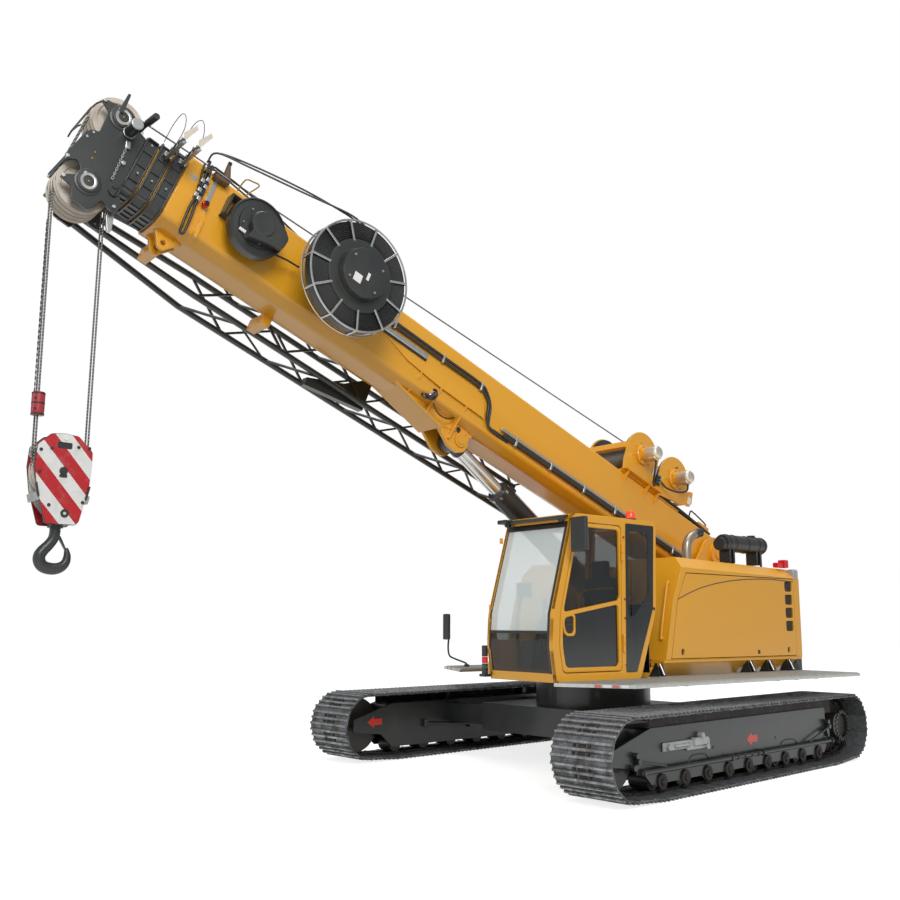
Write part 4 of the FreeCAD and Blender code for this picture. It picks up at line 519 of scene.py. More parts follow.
for side, sign in (("left", 1), ("right", -1)):
    shell = bmesh.new()
    skin = bmesh.new()
    rim = [skin.verts.new((x, sign * 0.43, z)) for x, z in HOUSE]
    skin.faces.new(rim)
    grown = bmesh.ops.extrude_face_region(skin, geom=skin.faces[:])
    moved = [item for item in grown["geom"] if isinstance(item, bmesh.types.BMVert)]
    bmesh.ops.translate(skin, verts=moved, vec=(0, sign * 0.88, 0))
    shoulder = [item for item in skin.edges if all(abs(v.co.y) > 1.3 and v.co.z > 2.3 for v in item.verts)]
    bmesh.ops.bevel(skin, geom=shoulder, offset=SHOULDER, segments=1, affect="EDGES", profile=0.5, material=-1)
    floor_faces = [item for item in skin.faces if all(v.co.z < 1.23 for v in item.verts)]
    wall_faces = [item for item in skin.faces if all(abs(v.co.y) > 1.3 for v in item.verts)]
    walls = [item for face in wall_faces for item in face.edges]
    bmesh.ops.delete(skin, geom=floor_faces + wall_faces, context="FACES_ONLY")
    gap = [skin.verts.new((x, sign * 1.31, z)) for x, z in DOOR_GAP]
    gap_edges = [skin.edges.new((gap[index - 1], gap[index])) for index in range(len(gap))]
    bmesh.ops.triangle_fill(skin, use_beauty=True, use_dissolve=False, edges=walls + gap_edges)
    bmesh.ops.recalc_face_normals(skin, faces=skin.faces[:])
    core = Vector((-1.2, sign * 0.87, 1.8))
    inside = [face for face in skin.faces if face.normal.dot(face.calc_center_median() - core) < 0]
    if inside:
        bmesh.ops.reverse_faces(skin, faces=inside)
    bmesh.ops.solidify(skin, geom=skin.faces[:], thickness=0.03)
    edges = [item for item in skin.edges if len(item.link_faces) == 2 and 0.5 < item.calc_face_angle(0.0)]
    bmesh.ops.bevel(skin, geom=edges, offset=0.008, segments=3, affect="EDGES", profile=0.5, material=-1,
                    clamp_overlap=True)
    weld(shell, skin)
    hose(shell, flow([(0.175, sign * 1.22, 1.48), (0.2, sign * 1.22, 1.5), (0.07, sign * 1.22, 2.06),
                      (0.03, sign * 1.22, 2.09)], 4), 0.014)
    bar(shell, (-2.575, sign * 1.2, 2.19), (-2.45, sign * 1.306, 2.345), cut=0.03, segments=4, paint=2)
    panel(shell, [(-2.56, 1.226), (-2.44, 1.226), (-2.42, 1.15), (-2.5, 1.05), (-2.56, 1.05)],
          sign * 1.05, sign * 1.3, edge=0.006, paint=1)
    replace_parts(fit(shell, "housing_shell_" + side, "upper_works", "yellow_paint", yellow, trim_black, galvanised),
                "housing_" + side)

    leaf = bmesh.new()
    outline = [(-2.421, 1.244), (0.134, 1.244), (-0.004, 1.888), (-0.176, 2.206), (-2.421, 2.206)]
    openings = [([(-2.385, low), (-2.215, low), (-2.215, low + 0.13), (-2.385, low + 0.13)], 0.03) for low in VENTS]
    latches = [([(x - 0.03, 1.275), (x + 0.03, 1.275), (x + 0.03, 1.35), (x - 0.03, 1.35)], 0.029)
               for x in (-0.07, -2.25)]
    panel(leaf, outline, sign * 1.27, sign * 1.31, holes=openings + latches, corner=0.012, edge=0.006)
    for low in VENTS:
        panel(leaf, [(-2.389, low - 0.004), (-2.211, low - 0.004), (-2.211, low + 0.134), (-2.389, low + 0.134)],
              sign * 1.283, sign * 1.287, corner=0.03, paint=1)
        for index in range(9):
            bar(leaf, (-2.378, sign * 1.288, low + 0.008 + index * 0.0135),
                (-2.222, sign * 1.302, low + 0.013 + index * 0.0135), paint=1, lean=(25 * sign, "X"))
    for x in (-0.07, -2.25):
        panel(leaf, [(x - 0.034, 1.27), (x + 0.034, 1.27), (x + 0.034, 1.355), (x - 0.034, 1.355)],
              sign * 1.28, sign * 1.29, corner=0.033, paint=2)
        bar(leaf, (x - 0.01, sign * 1.288, 1.285), (x + 0.01, sign * 1.304, 1.34), cut=0.005, paint=2)
    panel(leaf, [(-1.605, 1.27), (-1.555, 1.27), (-1.555, 1.32), (-1.605, 1.32)], sign * 1.31, sign * 1.3112,
          corner=0.006, paint=2)
    upper = [(x, z + 0.0065) for x, z in ARC]
    lower = [(x, z - 0.0065) for x, z in reversed(ARC)]
    panel(leaf, upper + lower, sign * 1.3095, sign * 1.3112, paint=3)
    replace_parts(fit(leaf, "side_door_" + side, "side_door_" + side, "yellow_paint", yellow, mesh_dark, trim_black,
                    line_brown), "housing_door_" + side)

# Engine block. One plain painted block behind the left side door.
engine_grey = enamel("engine_grey", "#4a4d4b", "#6d6a62", roughness=0.5, dust=0.4)
coat(engine_grey, "engine_block")

# Exhaust. A bent tube of aluminised steel, dull silver and browned by heat near its slash-cut mouth,
# clamped to a stub on the housing's roof.
def bare_metal(name, colour, stain, roughness=0.32, cloud_mm=60.0):
    """Bare or plated metal with a thin uneven stain."""
    material, tree, shader = finish(name)
    where = add(tree, "TexCoord").outputs["Object"]
    cloud = add(tree, "TexNoise", {"Vector": where, "Scale": 1000.0 / cloud_mm, "Detail": 5.0})
    tone = add(tree, "Mix", {"Factor": cloud.outputs["Fac"], "A": linear(colour), "B": linear(stain)},
               data_type="RGBA")
    tree.links.new(tone.outputs["Result"], shader.inputs["Base Color"])
    film = add(tree, "MapRange", {"Value": cloud.outputs["Fac"], "To Min": roughness - 0.08,
                                  "To Max": roughness + 0.16})
    tree.links.new(film.outputs[0], shader.inputs["Roughness"])
    shader.inputs["Metallic"].default_value = 0.9
    return material


aluminised = bare_metal("aluminised_tube", "#b5aa9b", "#8d7d6a")
plated = bare_metal("zinc_plated_steel", "#c7c8c6", "#9b9a95", roughness=0.28)
pipe = bmesh.new()
hose(pipe, flow([(-0.64, 0.98, 2.36), (-0.64, 0.98, 2.5), (-0.66, 0.98, 2.6), (-0.73, 0.98, 2.68),
                 (-0.83, 0.98, 2.725)], 6), 0.055, sides=28)
hose(pipe, flow([(-0.8, 0.98, 2.713), (-0.87, 0.98, 2.735), (-0.93, 0.98, 2.748)], 3), 0.0555, sides=28, paint=1)
disc(pipe, 0.066, 0.03, Matrix.Translation((-0.64, 0.98, 2.405)), sides=32, paint=0)
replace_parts(fit(pipe, "exhaust_pipe", "upper_works", "silver_metal", aluminised, trim_black), "exhaust_stack")

# Air cleaner. A moulded black canister on two welded feet, with banded lids and an intake stub.
cleaner = bmesh.new()
lying = Matrix.Translation((-1.68, 1.06, 2.635)) @ Matrix.Rotation(math.pi / 2, 4, "Y")
disc(cleaner, 0.108, 0.86, lying, sides=40, cut=0.015)
for x in (-2.07, -1.95, -1.72, -1.45, -1.32):
    disc(cleaner, 0.114, 0.022, Matrix.Translation((x, 1.06, 2.635)) @ Matrix.Rotation(math.pi / 2, 4, "Y"),
         sides=40, cut=0.005)
disc(cleaner, 0.1, 0.12, Matrix.Translation((-1.25, 1.06, 2.62)) @ Matrix.Rotation(math.pi / 2, 4, "Y"),
     sides=32, tip=0.08)
disc(cleaner, 0.05, 0.03, Matrix.Translation((-1.9, 1.06, 2.747)), sides=24)
for x in (-1.32, -1.4, -1.9, -1.98):
    bar(cleaner, (x - 0.014, 0.98, 2.38), (x + 0.014, 1.14, 2.56), cut=0.003)
hose(cleaner, [(-2.1, 1.06, 2.36), (-2.1, 1.06, 2.55)], 0.014)
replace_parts(fit(cleaner, "air_cleaner_canister", "upper_works", "charcoal_paint", trim_black), "air_cleaner")

# Walkways. Ribbed aluminium planks on triangular steel brackets, with a few faded red and white marks
# on the slanting front edge and one red mark at the rear.
plank = bare_metal("ribbed_aluminium", "#cfd0cb", "#adaca5", roughness=0.45)
faded_red = enamel("faded_red", "#c4605c", "#b99a92", roughness=0.5, dust=0.4)
strip_white = enamel("marking_white", "#e4e3df", "#bdb9b0", roughness=0.5, dust=0.3)
for side, sign in (("left", 1), ("right", -1)):
    walk = bmesh.new()
    if sign > 0:
        plan = [(-2.52, 1.285), (0.5, 1.285), (0.64, 1.408), (2.12, 1.408), (1.72, 2.09), (-2.52, 2.09)]
        posts = (0.4, -1.331, -1.74, -2.189)
    else:
        plan = [(-2.52, -1.285), (-2.52, -2.09), (0.65, -2.09), (1.05, -1.285)]
        posts = (0.3, -1.0, -2.1)
    panel(walk, plan, 1.012, 1.046, axis="Z", edge=0.004)
    y = 1.3
    while y < 2.08:
        inner_end = 0.48 if y < 1.42 else 2.1 - max(0.0, (y - 1.408) / 0.682) * 0.4
        if sign < 0:
            inner_end = 1.03 - (y - 1.285) / 0.805 * 0.4
        bar(walk, (-2.515, sign * y, 1.046), (inner_end - 0.01, sign * (y + 0.013), 1.055), paint=0)
        y += 0.027
    edge_start, edge_end = (Vector((2.12, 1.408, 1.029)), Vector((1.72, 2.09, 1.029)))
    if sign < 0:
        edge_start, edge_end = (Vector((1.05, -1.285, 1.029)), Vector((0.65, -2.09, 1.029)))
    along = (edge_end - edge_start).normalized()
    outer = Vector((along.y, -along.x, 0)) * sign
    for index, share in enumerate((0.55, 0.66, 0.77, 0.88)):
        spot = Matrix((along, outer, Vector((0, 0, 1)))).transposed().to_4x4()
        spot.translation = edge_start.lerp(edge_end, share)
        bar(walk, (-0.035, -0.0012, -0.014), (0.035, 0.0012, 0.014), paint=4 if index % 2 else 3, place=spot)
    bar(walk, (-2.5215, sign * 1.93, 1.014), (-2.518, sign * 2.07, 1.044), paint=3)
    for x in posts:
        gusset = [(1.2, 1.05), (1.36, 1.05), (1.31, 1.2), (1.29, 1.2)]
        panel(walk, [(sign * a, b) for a, b in gusset], x - 0.09, x - 0.082, axis="X", paint=2)
        panel(walk, [(sign * a, b) for a, b in gusset], x + 0.0, x + 0.008, axis="X", paint=2)
        bar(walk, (x - 0.075, sign * 1.34, 1.04), (x + 0.02, sign * 1.36, 1.058), paint=1)
        hose(walk, [(x - 0.04, sign * 1.315, 1.19), (x - 0.04, sign * 1.375, 1.07)], 0.013, paint=1)
        bar(walk, (x - 0.05, sign * 1.16, 0.97), (x + 0.02, sign * 1.7, 1.012), cut=0.004, paint=2)
    piece = fit(walk, "walkway_deck_" + side, "upper_works", "silver_metal", plank, plated, trim_black, faded_red,
                strip_white)
    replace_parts(piece, "walkway_" + side)

# Cab. A welded shell of pressed posts in yellow enamel: two side walls, a roof, a curved front frame
# and a floor, with its panes bonded in from outside over a black ceramic border.
SIDE = [(0.76, 1.04), (2.04, 1.04), (2.095, 1.4), (2.075, 1.72), (1.77, 2.75), (0.44, 2.75), (0.48, 1.78)]
DOORWAY = [(1.06, 1.13), (1.96, 1.13), (2.005, 1.4), (1.99, 1.72), (1.727, 2.67), (1.03, 2.67)]
QUARTER = [(0.84, 1.13), (0.985, 1.13), (0.955, 2.69), (0.5, 2.69), (0.545, 1.79)]
RIGHT_LIGHT = [(0.66, 1.45), (2.0, 1.45), (1.98, 1.72), (1.71, 2.66), (0.52, 2.66), (0.56, 1.78)]


def glazing(name, colour, roughness, alpha, painted_sky_glow=0.0):
    """A bonded pane: how much of its own colour it shows, and a glow in that colour that paints the sky's reflection on
    it.
    """
    material, tree, shader = finish(name)
    shader.inputs["Base Color"].default_value = linear(colour)
    shader.inputs["Roughness"].default_value = roughness
    shader.inputs["Alpha"].default_value = alpha
    shader.inputs["Emission Color"].default_value = linear(colour)
    shader.inputs["Emission Strength"].default_value = painted_sky_glow
    return material


pane_clear = glazing("clear_glass", "#b9c4c0", 0.04, 0.3)
# The upper windscreen's pale colour and faint glow are a painted reflection of the bright sky.
pane_painted_sky = glazing("glass_painted_sky_reflection", "#dde5e3", 0.08, 0.42, painted_sky_glow=0.18)
pane_dark = glazing("tinted_glass", "#1a211f", 0.03, 0.55)
border_black = enamel("ceramic_border", "#101110", "#1c1c1b", roughness=0.12, dust=0.1)
cab = bmesh.new()
panel(cab, SIDE, 1.332, 1.38, holes=[(DOORWAY, 0.05), (QUARTER, 0.03)], corner=0.05, edge=0.007)
panel(cab, SIDE, 0.4, 0.448, holes=[(RIGHT_LIGHT, 0.05)], corner=0.05, edge=0.007)
roof = [(1.775, 2.7), (1.765, 2.735), (1.72, 2.752), (0.48, 2.752), (0.445, 2.735), (0.442, 2.7)]
panel(cab, roof, 0.402, 1.378, edge=0.004)
panel(cab, [(0.83, 0.46), (1.62, 0.46), (1.62, 1.32), (0.83, 1.32)], 2.752, 2.765, axis="Z", corner=0.06, edge=0.005)
panel(cab, [(0.77, 1.042), (2.04, 1.042), (2.052, 1.13), (0.77, 1.13)], 0.42, 1.36, edge=0.004)
FRONT = [(2.04, 1.04), (2.095, 1.4), (2.075, 1.72), (1.77, 2.75)]


def front_strip(bm, near, far, start, end, depth=0.03, proud=0.0, paint=0):
    """A strip of the bowed front between two heights, from one width station to another."""
    rim = []
    for low, high in zip(FRONT, FRONT[1:]):
        reach = (max(low[1], start), min(high[1], end))
        for z in reach if reach[0] < reach[1] else ():
            if not rim or abs(rim[-1][1] - z) > 1e-4:
                x = low[0] + (high[0] - low[0]) * (z - low[1]) / (high[1] - low[1])
                rim.append((x + proud, z))
    back = [(x - depth, z) for x, z in reversed(rim)]
    panel(bm, rim + back, near, far, edge=0.003, paint=paint)


front_strip(cab, 0.402, 0.43, 1.04, 2.75, depth=0.05)
front_strip(cab, 1.325, 1.378, 1.04, 2.75, depth=0.05)
front_strip(cab, 0.402, 1.378, 1.04, 1.125, depth=0.05)
front_strip(cab, 0.402, 1.378, 2.67, 2.75, depth=0.05)
front_strip(cab, 0.43, 1.3, 2.61, 2.672, depth=0.012, paint=1)
front_strip(cab, 1.29, 1.327, 1.125, 2.672, depth=0.012, paint=1)
front_strip(cab, 0.428, 0.45, 1.125, 2.672, depth=0.012, paint=1)
front_strip(cab, 0.43, 1.327, 1.52, 1.55, depth=0.012, proud=0.002, paint=1)
for z, y in ((2.516, 0.392), (1.79, 0.392)):
    bar(cab, (1.86 if z > 2 else 2.02, y, z - 0.03), (1.9 if z > 2 else 2.06, y + 0.02, z + 0.03), cut=0.004)
rear_left = [(0.445, 2.72), (0.485, 1.78), (0.77, 1.05), (0.815, 1.05), (0.53, 1.78), (0.49, 2.72)]
panel(cab, rear_left, 1.29, 1.36, edge=0.004)
panel(cab, rear_left, 0.42, 0.49, edge=0.004)
for z in (1.42, 2.38):
    for shift in (-0.047, 0.047):
        disc(cab, 0.013, 0.085, Matrix.Translation((1.04, 1.392, z + shift)), sides=16, cut=0.003)
for z in (2.547, 1.885, 1.685, 1.196):
    disc(cab, 0.011, 0.014, Matrix.Translation((1.0, 1.383, z)) @ Matrix.Rotation(math.pi / 2, 4, "X"), sides=6, paint=2)
disc(cab, 0.017, 0.006, Matrix.Translation((0.515, 1.381, 1.79)) @ Matrix.Rotation(math.pi / 2, 4, "X"), sides=20,
     paint=1)
bolt_red = enamel("primer_bolt", "#6e3322", "#8a5a3c", roughness=0.6)
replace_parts(fit(cab, "cab_body", "upper_works", "yellow_paint", yellow, trim_black, bolt_red), "cab_shell")

# Cab glass. The upper windscreen is pale with a painted reflection of the bright sky, a pale colour
# and a faint glow; the lower one and the rear quarter are dark, each with a black border baked on.
panes = bmesh.new()
# The upper windscreen strip takes the pane with the painted sky reflection.
front_strip(panes, 0.45, 1.29, 1.55, 2.61, depth=0.006, proud=-0.006, paint=3)
front_strip(panes, 0.45, 1.29, 1.12, 1.52, depth=0.006, proud=-0.006, paint=1)
quarter_out = [(0.826, 1.118), (1.0, 1.118), (0.962, 2.7), (0.489, 2.7), (0.535, 1.79)]
quarter_in = [(0.86, 1.7), (0.945, 1.7), (0.925, 2.62), (0.6, 2.62), (0.6, 1.95)]
panel(panes, quarter_out, 1.3805, 1.384, holes=[(quarter_in, 0.05)], corner=0.02, edge=0.001, paint=2)
panel(panes, quarter_in, 1.3805, 1.3835, corner=0.05, paint=1)
panel(panes, RIGHT_LIGHT, 0.415, 0.421, corner=0.05, paint=0)
panel(panes, [(0.49, 1.84), (1.29, 1.84), (1.29, 2.64), (0.49, 2.64)], 0.492, 0.498, axis="X", corner=0.05)
panel(panes, [(0.45, 1.1), (1.33, 1.1), (1.33, 1.84), (0.45, 1.84)], 0.55, 0.56, axis="X", paint=2)
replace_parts(fit(panes, "cab_panes", "upper_works", "tinted_glass", pane_clear, pane_dark, border_black, pane_painted_sky),
            "cab_glass")

# Seat. A sprung base, a moulded cushion and backrest in dark fabric, two arm consoles with their
# joysticks, and the grey trim of the cab behind the operator.
fabric, fabric_tree, fabric_shader = finish("woven_seat_fabric")
weave_at = add(fabric_tree, "TexCoord").outputs["Object"]
weave = add(fabric_tree, "TexVoronoi", {"Vector": weave_at, "Scale": 160.0})
weave_tone = add(fabric_tree, "Mix", {"Factor": weave.outputs["Distance"], "A": linear("#4c4f52"),
                                      "B": linear("#72767a")}, data_type="RGBA")
fabric_tree.links.new(weave_tone.outputs["Result"], fabric_shader.inputs["Base Color"])
fabric_shader.inputs["Roughness"].default_value = 0.9
moulded = enamel("moulded_grey", "#6f7376", "#8d9092", roughness=0.6, dust=0.2, peel=0.1)
seat = bmesh.new()
bar(seat, (0.9, 0.69, 1.09), (1.33, 1.09, 1.42), cut=0.03, segments=3, paint=1)
for fold in range(4):
    bar(seat, (0.89, 0.68, 1.15 + fold * 0.06), (1.34, 1.1, 1.18 + fold * 0.06), cut=0.01, segments=2, paint=1)
bar(seat, (0.86, 0.65, 1.4), (1.4, 1.13, 1.53), cut=0.05, segments=4)
bar(seat, (0.77, 0.67, 1.49), (0.88, 1.11, 2.13), cut=0.045, segments=4)
bar(seat, (0.785, 0.77, 2.1), (0.855, 1.01, 2.32), cut=0.03, segments=4)
for y in (0.69, 1.03):
    bar(seat, (0.84, y, 1.6), (0.905, y + 0.06, 2.0), cut=0.025, segments=3)
for low_y, high_y, top in ((1.15, 1.26, 1.64), (0.5, 0.64, 1.66)):
    bar(seat, (0.95, low_y, top - 0.2), (1.45, high_y, top), cut=0.03, segments=3, paint=1)
    middle = (low_y + high_y) / 2
    hose(seat, flow([(1.38, middle, top - 0.02), (1.4, middle, top + 0.08), (1.39, middle, top + 0.17)], 4), 0.014,
         paint=2)
    bar(seat, (1.36, middle - 0.025, top + 0.13), (1.42, middle + 0.025, top + 0.24), cut=0.02, segments=3, paint=2)
bar(seat, (1.0, 1.08, 1.42), (1.15, 1.16, 1.52), cut=0.01, paint=1)
bar(seat, (1.0, 0.63, 1.41), (1.15, 0.7, 1.5), cut=0.01, paint=1)
bar(seat, (1.72, 0.52, 1.9), (1.78, 0.72, 2.06), cut=0.015, segments=2, paint=2)
hose(seat, flow([(1.7, 0.5, 1.14), (1.76, 0.52, 1.6), (1.75, 0.58, 1.95)], 4), 0.018, paint=2)
bar(seat, (1.5, 0.52, 1.12), (1.7, 0.66, 1.45), cut=0.02, segments=2, paint=1)
hose(seat, flow([(1.92, 0.9, 1.14), (1.85, 0.9, 1.45), (1.72, 0.9, 1.72)], 4), 0.02, paint=2)
disc(seat, 0.05, 0.02, Matrix.Translation((1.62, 1.2, 2.55)) @ Matrix.Rotation(0.9, 4, "Y"), sides=24, paint=2)
bar(seat, (0.6, 0.46, 1.1), (0.75, 1.31, 1.7), cut=0.03, segments=2, paint=2)
hose(seat, flow([(1.02, 1.3, 1.5), (1.1, 1.31, 1.62), (1.45, 1.31, 1.58), (1.6, 1.31, 1.66), (1.64, 1.31, 1.85),
                 (1.55, 1.31, 1.96), (1.1, 1.31, 2.0)], 4), 0.012, paint=3)
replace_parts(fit(seat, "seat_and_consoles", "upper_works", "seat_fabric", fabric, moulded, trim_black, yellow),
            "operator_seat")

# Cab door. One pressed leaf on two lift-off hinges, with an upper pane and a lower one divided by a
# slanting belt bar, and a paddle handle let into its own rounded frame.
LEAF = [(1.068, 1.138), (1.952, 1.138), (1.996, 1.4), (1.981, 1.722), (1.72, 2.66), (1.04, 2.66)]
UPPER = [(1.075, 1.875), (1.94, 1.735), (1.692, 2.618), (1.075, 2.618)]
LOWER = [(1.105, 1.185), (1.912, 1.185), (1.953, 1.4), (1.946, 1.69), (1.105, 1.828)]
leaf = bmesh.new()
panel(leaf, LEAF, 1.336, 1.382, holes=[(UPPER, 0.05), (LOWER, 0.05)], corner=0.045, edge=0.008)
grip = [(1.775, 1.5), (1.925, 1.5), (1.955, 1.6), (1.95, 1.7), (1.775, 1.73)]
grip_in = [(1.795, 1.525), (1.91, 1.525), (1.932, 1.6), (1.93, 1.685), (1.795, 1.705)]
panel(leaf, grip, 1.352, 1.386, holes=[(grip_in, 0.04)], corner=0.045, edge=0.005)
panel(leaf, grip_in, 1.36, 1.37, corner=0.04, paint=1)
bar(leaf, (1.82, 1.37, 1.6), (1.915, 1.384, 1.635), cut=0.008, segments=2, paint=1)
for z in (1.465, 2.425):
    disc(leaf, 0.013, 0.085, Matrix.Translation((1.04, 1.398, z)), sides=16, cut=0.003)
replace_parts(fit(leaf, "cab_door_leaf_frame", "cab_door_leaf", "yellow_paint", yellow, trim_black), "cab_door")
panes = bmesh.new()
panel(panes, UPPER, 1.352, 1.358, corner=0.05)
panel(panes, LOWER, 1.352, 1.358, corner=0.05, paint=1)
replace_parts(fit(panes, "cab_door_panes", "cab_door_leaf", "tinted_glass", pane_dark, border_black),
            "cab_door_glass")

# Mirrors. Black moulded heads on bent black tube: one ahead of the cab door, one on a wide arm over
# the right crawler.
mirror_glass = bare_metal("silvered_glass", "#dfe4e6", "#cfd5d8", roughness=0.08)
mirrors = bmesh.new()
bar(mirrors, (1.892, 1.482, 2.335), (1.938, 1.698, 2.688), cut=0.02, segments=3)
bar(mirrors, (1.889, 1.495, 2.35), (1.893, 1.685, 2.67), paint=1)
hose(mirrors, flow([(1.79, 1.375, 2.58), (1.8, 1.45, 2.58), (1.86, 1.54, 2.56), (1.9, 1.57, 2.54)], 4), 0.013)
bar(mirrors, (0.56, -2.19, 1.4), (0.6, -2.06, 1.75), cut=0.018, segments=3)
bar(mirrors, (0.557, -2.178, 1.415), (0.561, -2.072, 1.735), paint=1)
hose(mirrors, flow([(0.58, -1.7, 1.057), (0.58, -1.72, 1.1), (0.58, -1.95, 1.15), (0.58, -2.06, 1.19),
                    (0.58, -2.09, 1.3), (0.58, -2.07, 1.46)], 5), 0.013)
disc(mirrors, 0.035, 0.03, Matrix.Translation((0.58, -1.7, 1.07)), sides=20)
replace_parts(fit(mirrors, "mirror_pair", "upper_works", "charcoal_paint", trim_black, mirror_glass), "mirrors")

# Lamps. A domed amber beacon and a red rear lamp stand on the roofs, a stack of load lamps beside
# the cab's foot, and a black light bar with two lamps over the windscreen.
def lens(name, colour, glow=0.0):
    """Moulded translucent lamp plastic."""
    material, tree, shader = finish(name)
    shader.inputs["Base Color"].default_value = linear(colour)
    shader.inputs["Roughness"].default_value = 0.15
    shader.inputs["Emission Color"].default_value = linear(colour)
    shader.inputs["Emission Strength"].default_value = glow
    return material


amber = lens("amber_lens", "#ee4a22", 0.15)
red_lens = lens("red_lens", "#d01e28", 0.1)
green_lens = lens("green_lens", "#14512f")
lamps = bmesh.new()


def lathe(bm, profile, place, sides=28, paint=0):
    """A turned piece: its half profile, in radius and height, spun about its own Z."""
    part = bmesh.new()
    rim = [part.verts.new((radius, 0, height)) for radius, height in profile]
    edges = [part.edges.new(pair) for pair in zip(rim, rim[1:])]
    bmesh.ops.spin(part, geom=rim + edges, cent=(0, 0, 0), axis=(0, 0, 1), angle=2 * math.pi, steps=sides,
                   use_merge=True)
    bmesh.ops.remove_doubles(part, verts=part.verts[:], dist=1e-5)
    bmesh.ops.recalc_face_normals(part, faces=part.faces[:])
    weld(bm, part, paint, place)


dome = [(0.0, 0.12), (0.022, 0.116), (0.04, 0.103), (0.05, 0.08), (0.054, 0.04), (0.054, 0.025)]
lathe(lamps, dome, Matrix.Translation((0.7, 1.24, 2.755)))
lathe(lamps, [(0.0, 0.026), (0.062, 0.026), (0.062, 0.002), (0.0, 0.002)], Matrix.Translation((0.7, 1.24, 2.752)),
      paint=3)
bar(lamps, (-2.46, 1.14, 2.36), (-2.36, 1.24, 2.465), cut=0.012, segments=2, paint=1)
bar(lamps, (-2.34, 1.15, 2.36), (-2.22, 1.23, 2.425), cut=0.012, segments=2, paint=1)
for low, high, paint in ((1.09, 1.16, 3), (1.16, 1.2, 2), (1.2, 1.27, 1), (1.27, 1.39, 3)):
    disc(lamps, 0.033, high - low - 0.004, Matrix.Translation((2.085, 0.355, (low + high) / 2)), sides=24, paint=paint,
         cut=0.003)
bar(lamps, (1.96, 0.3, 1.06), (2.12, 0.398, 1.09), cut=0.004, paint=3)
bar(lamps, (1.79, 0.42, 2.7), (1.9, 1.33, 2.728), cut=0.008, segments=2, paint=3, lean=(14, "Y"))
bar(lamps, (1.82, 0.6, 2.665), (1.86, 1.25, 2.695), cut=0.005, paint=4)
for y in (0.5, 1.3):
    disc(lamps, 0.036, 0.05, Matrix.Translation((1.87, y, 2.69)) @ Matrix.Rotation(math.pi / 2, 4, "Y"), sides=24,
         paint=3, cut=0.006)
bar(lamps, (1.84, 0.42, 2.69), (1.96, 0.56, 2.735), cut=0.01, segments=2, paint=3)
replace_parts(fit(lamps, "lamps_and_light_bar", "upper_works", "lamp_plastic", amber, red_lens, green_lens, trim_black,
                yellow), "warning_lamps")


# Boom base. A welded box of high-strength plate with a folded belly, in the same yellow enamel, with
# a wide ribbed gusset under it for the luffing cylinder's eye and a thicker band round its nose.
along_boom = joints["telescope_2"]["axis"]
on_boom = (Matrix.Translation((-2.08, 0.0, 2.57))
           @ Matrix.Rotation(-math.atan2(along_boom[2], along_boom[0]), 4, "Y"))
BELLY, FOLD, TOP, HALF = -0.47, -0.13, 0.24, 0.327


def box_rim(step):
    """The boom's half-hexagon section, drawn in by a step on every side."""
    right = [(0.15, BELLY + step), (HALF - 0.04 - step, BELLY + 0.064 + step), (HALF - step, FOLD),
             (HALF - step, TOP - step)]
    return right + [(-y, u) for y, u in reversed(right)]


def crosswise(x, y, z):
    """A place for a turned piece whose own Z lies along Y."""
    return Matrix.Translation((x, y, z)) @ Matrix.Rotation(-math.pi / 2, 4, "X")


boom = bmesh.new()
panel(boom, box_rim(0.0), -0.18, 8.37, axis="X", holes=[(box_rim(0.012), 0.03)], corner=0.035, edge=0.003)
panel(boom, box_rim(-0.009), 8.16, 8.368, axis="X", holes=[(box_rim(0.004), 0.03)], corner=0.04, edge=0.004)
for sign in (1, -1):
    inner, outer = sign * 0.117, sign * 0.16
    lug = [(5.36, -0.45), (4.77, -0.6), (4.57, -0.735), (4.44, -0.745), (4.35, -0.70), (4.315, -0.62), (4.34, -0.52),
           (4.28, -0.45)]
    panel(boom, lug, inner, outer, corner=0.03, edge=0.006)
    disc(boom, 0.082, 0.02, crosswise(4.44, outer + sign * 0.008, -0.59), sides=36, cut=0.005)
    disc(boom, 0.052, 0.03, crosswise(4.44, outer + sign * 0.014, -0.59), sides=28, cut=0.004)
    skin = [(5.86, -0.135), (4.42, -0.135), (4.37, -0.2), (4.34, -0.29), (4.6, -0.285), (5.05, -0.275), (5.52, -0.23)]
    panel(boom, skin, sign * 0.314, sign * 0.3325, corner=0.01, edge=0.004)
    panel(boom, [(5.6, -0.2), (4.36, -0.2), (4.38, -0.5), (4.75, -0.58), (5.36, -0.46)], sign * 0.16, sign * 0.17,
          edge=0.002)
    for along, low in ((4.61, -0.665), (4.995, -0.54), (5.3, -0.475)):
        rib = [(0.15, low), (0.165, -0.44), (0.3, -0.14), (0.336, -0.14), (0.334, -0.3), (0.29, -0.36), (0.19, low)]
        panel(boom, [(sign * y, u) for y, u in rib], along - 0.008, along + 0.01, axis="X", edge=0.003)
    panel(boom, [(-0.0, 0.13), (0.0, -0.13), (0.08, -0.1), (0.1, 0.0), (0.08, 0.1)], sign * HALF, sign * 0.345,
          edge=0.004)
    disc(boom, 0.105, 0.03, crosswise(0, sign * 0.345, 0), sides=36, cut=0.006)
panel(boom, [(5.5, -0.452), (4.76, -0.612), (4.756, -0.594), (5.49, -0.434)], -0.2, 0.2, edge=0.003)
bar(boom, (4.3, -0.117, -0.48), (4.34, 0.117, -0.52), cut=0.003)
disc(boom, 0.03, 0.35, crosswise(4.514, 0, -0.5), sides=20, paint=1)
disc(boom, 0.0445, 0.37, crosswise(4.44, 0, -0.59), sides=28, paint=2, cut=0.003)
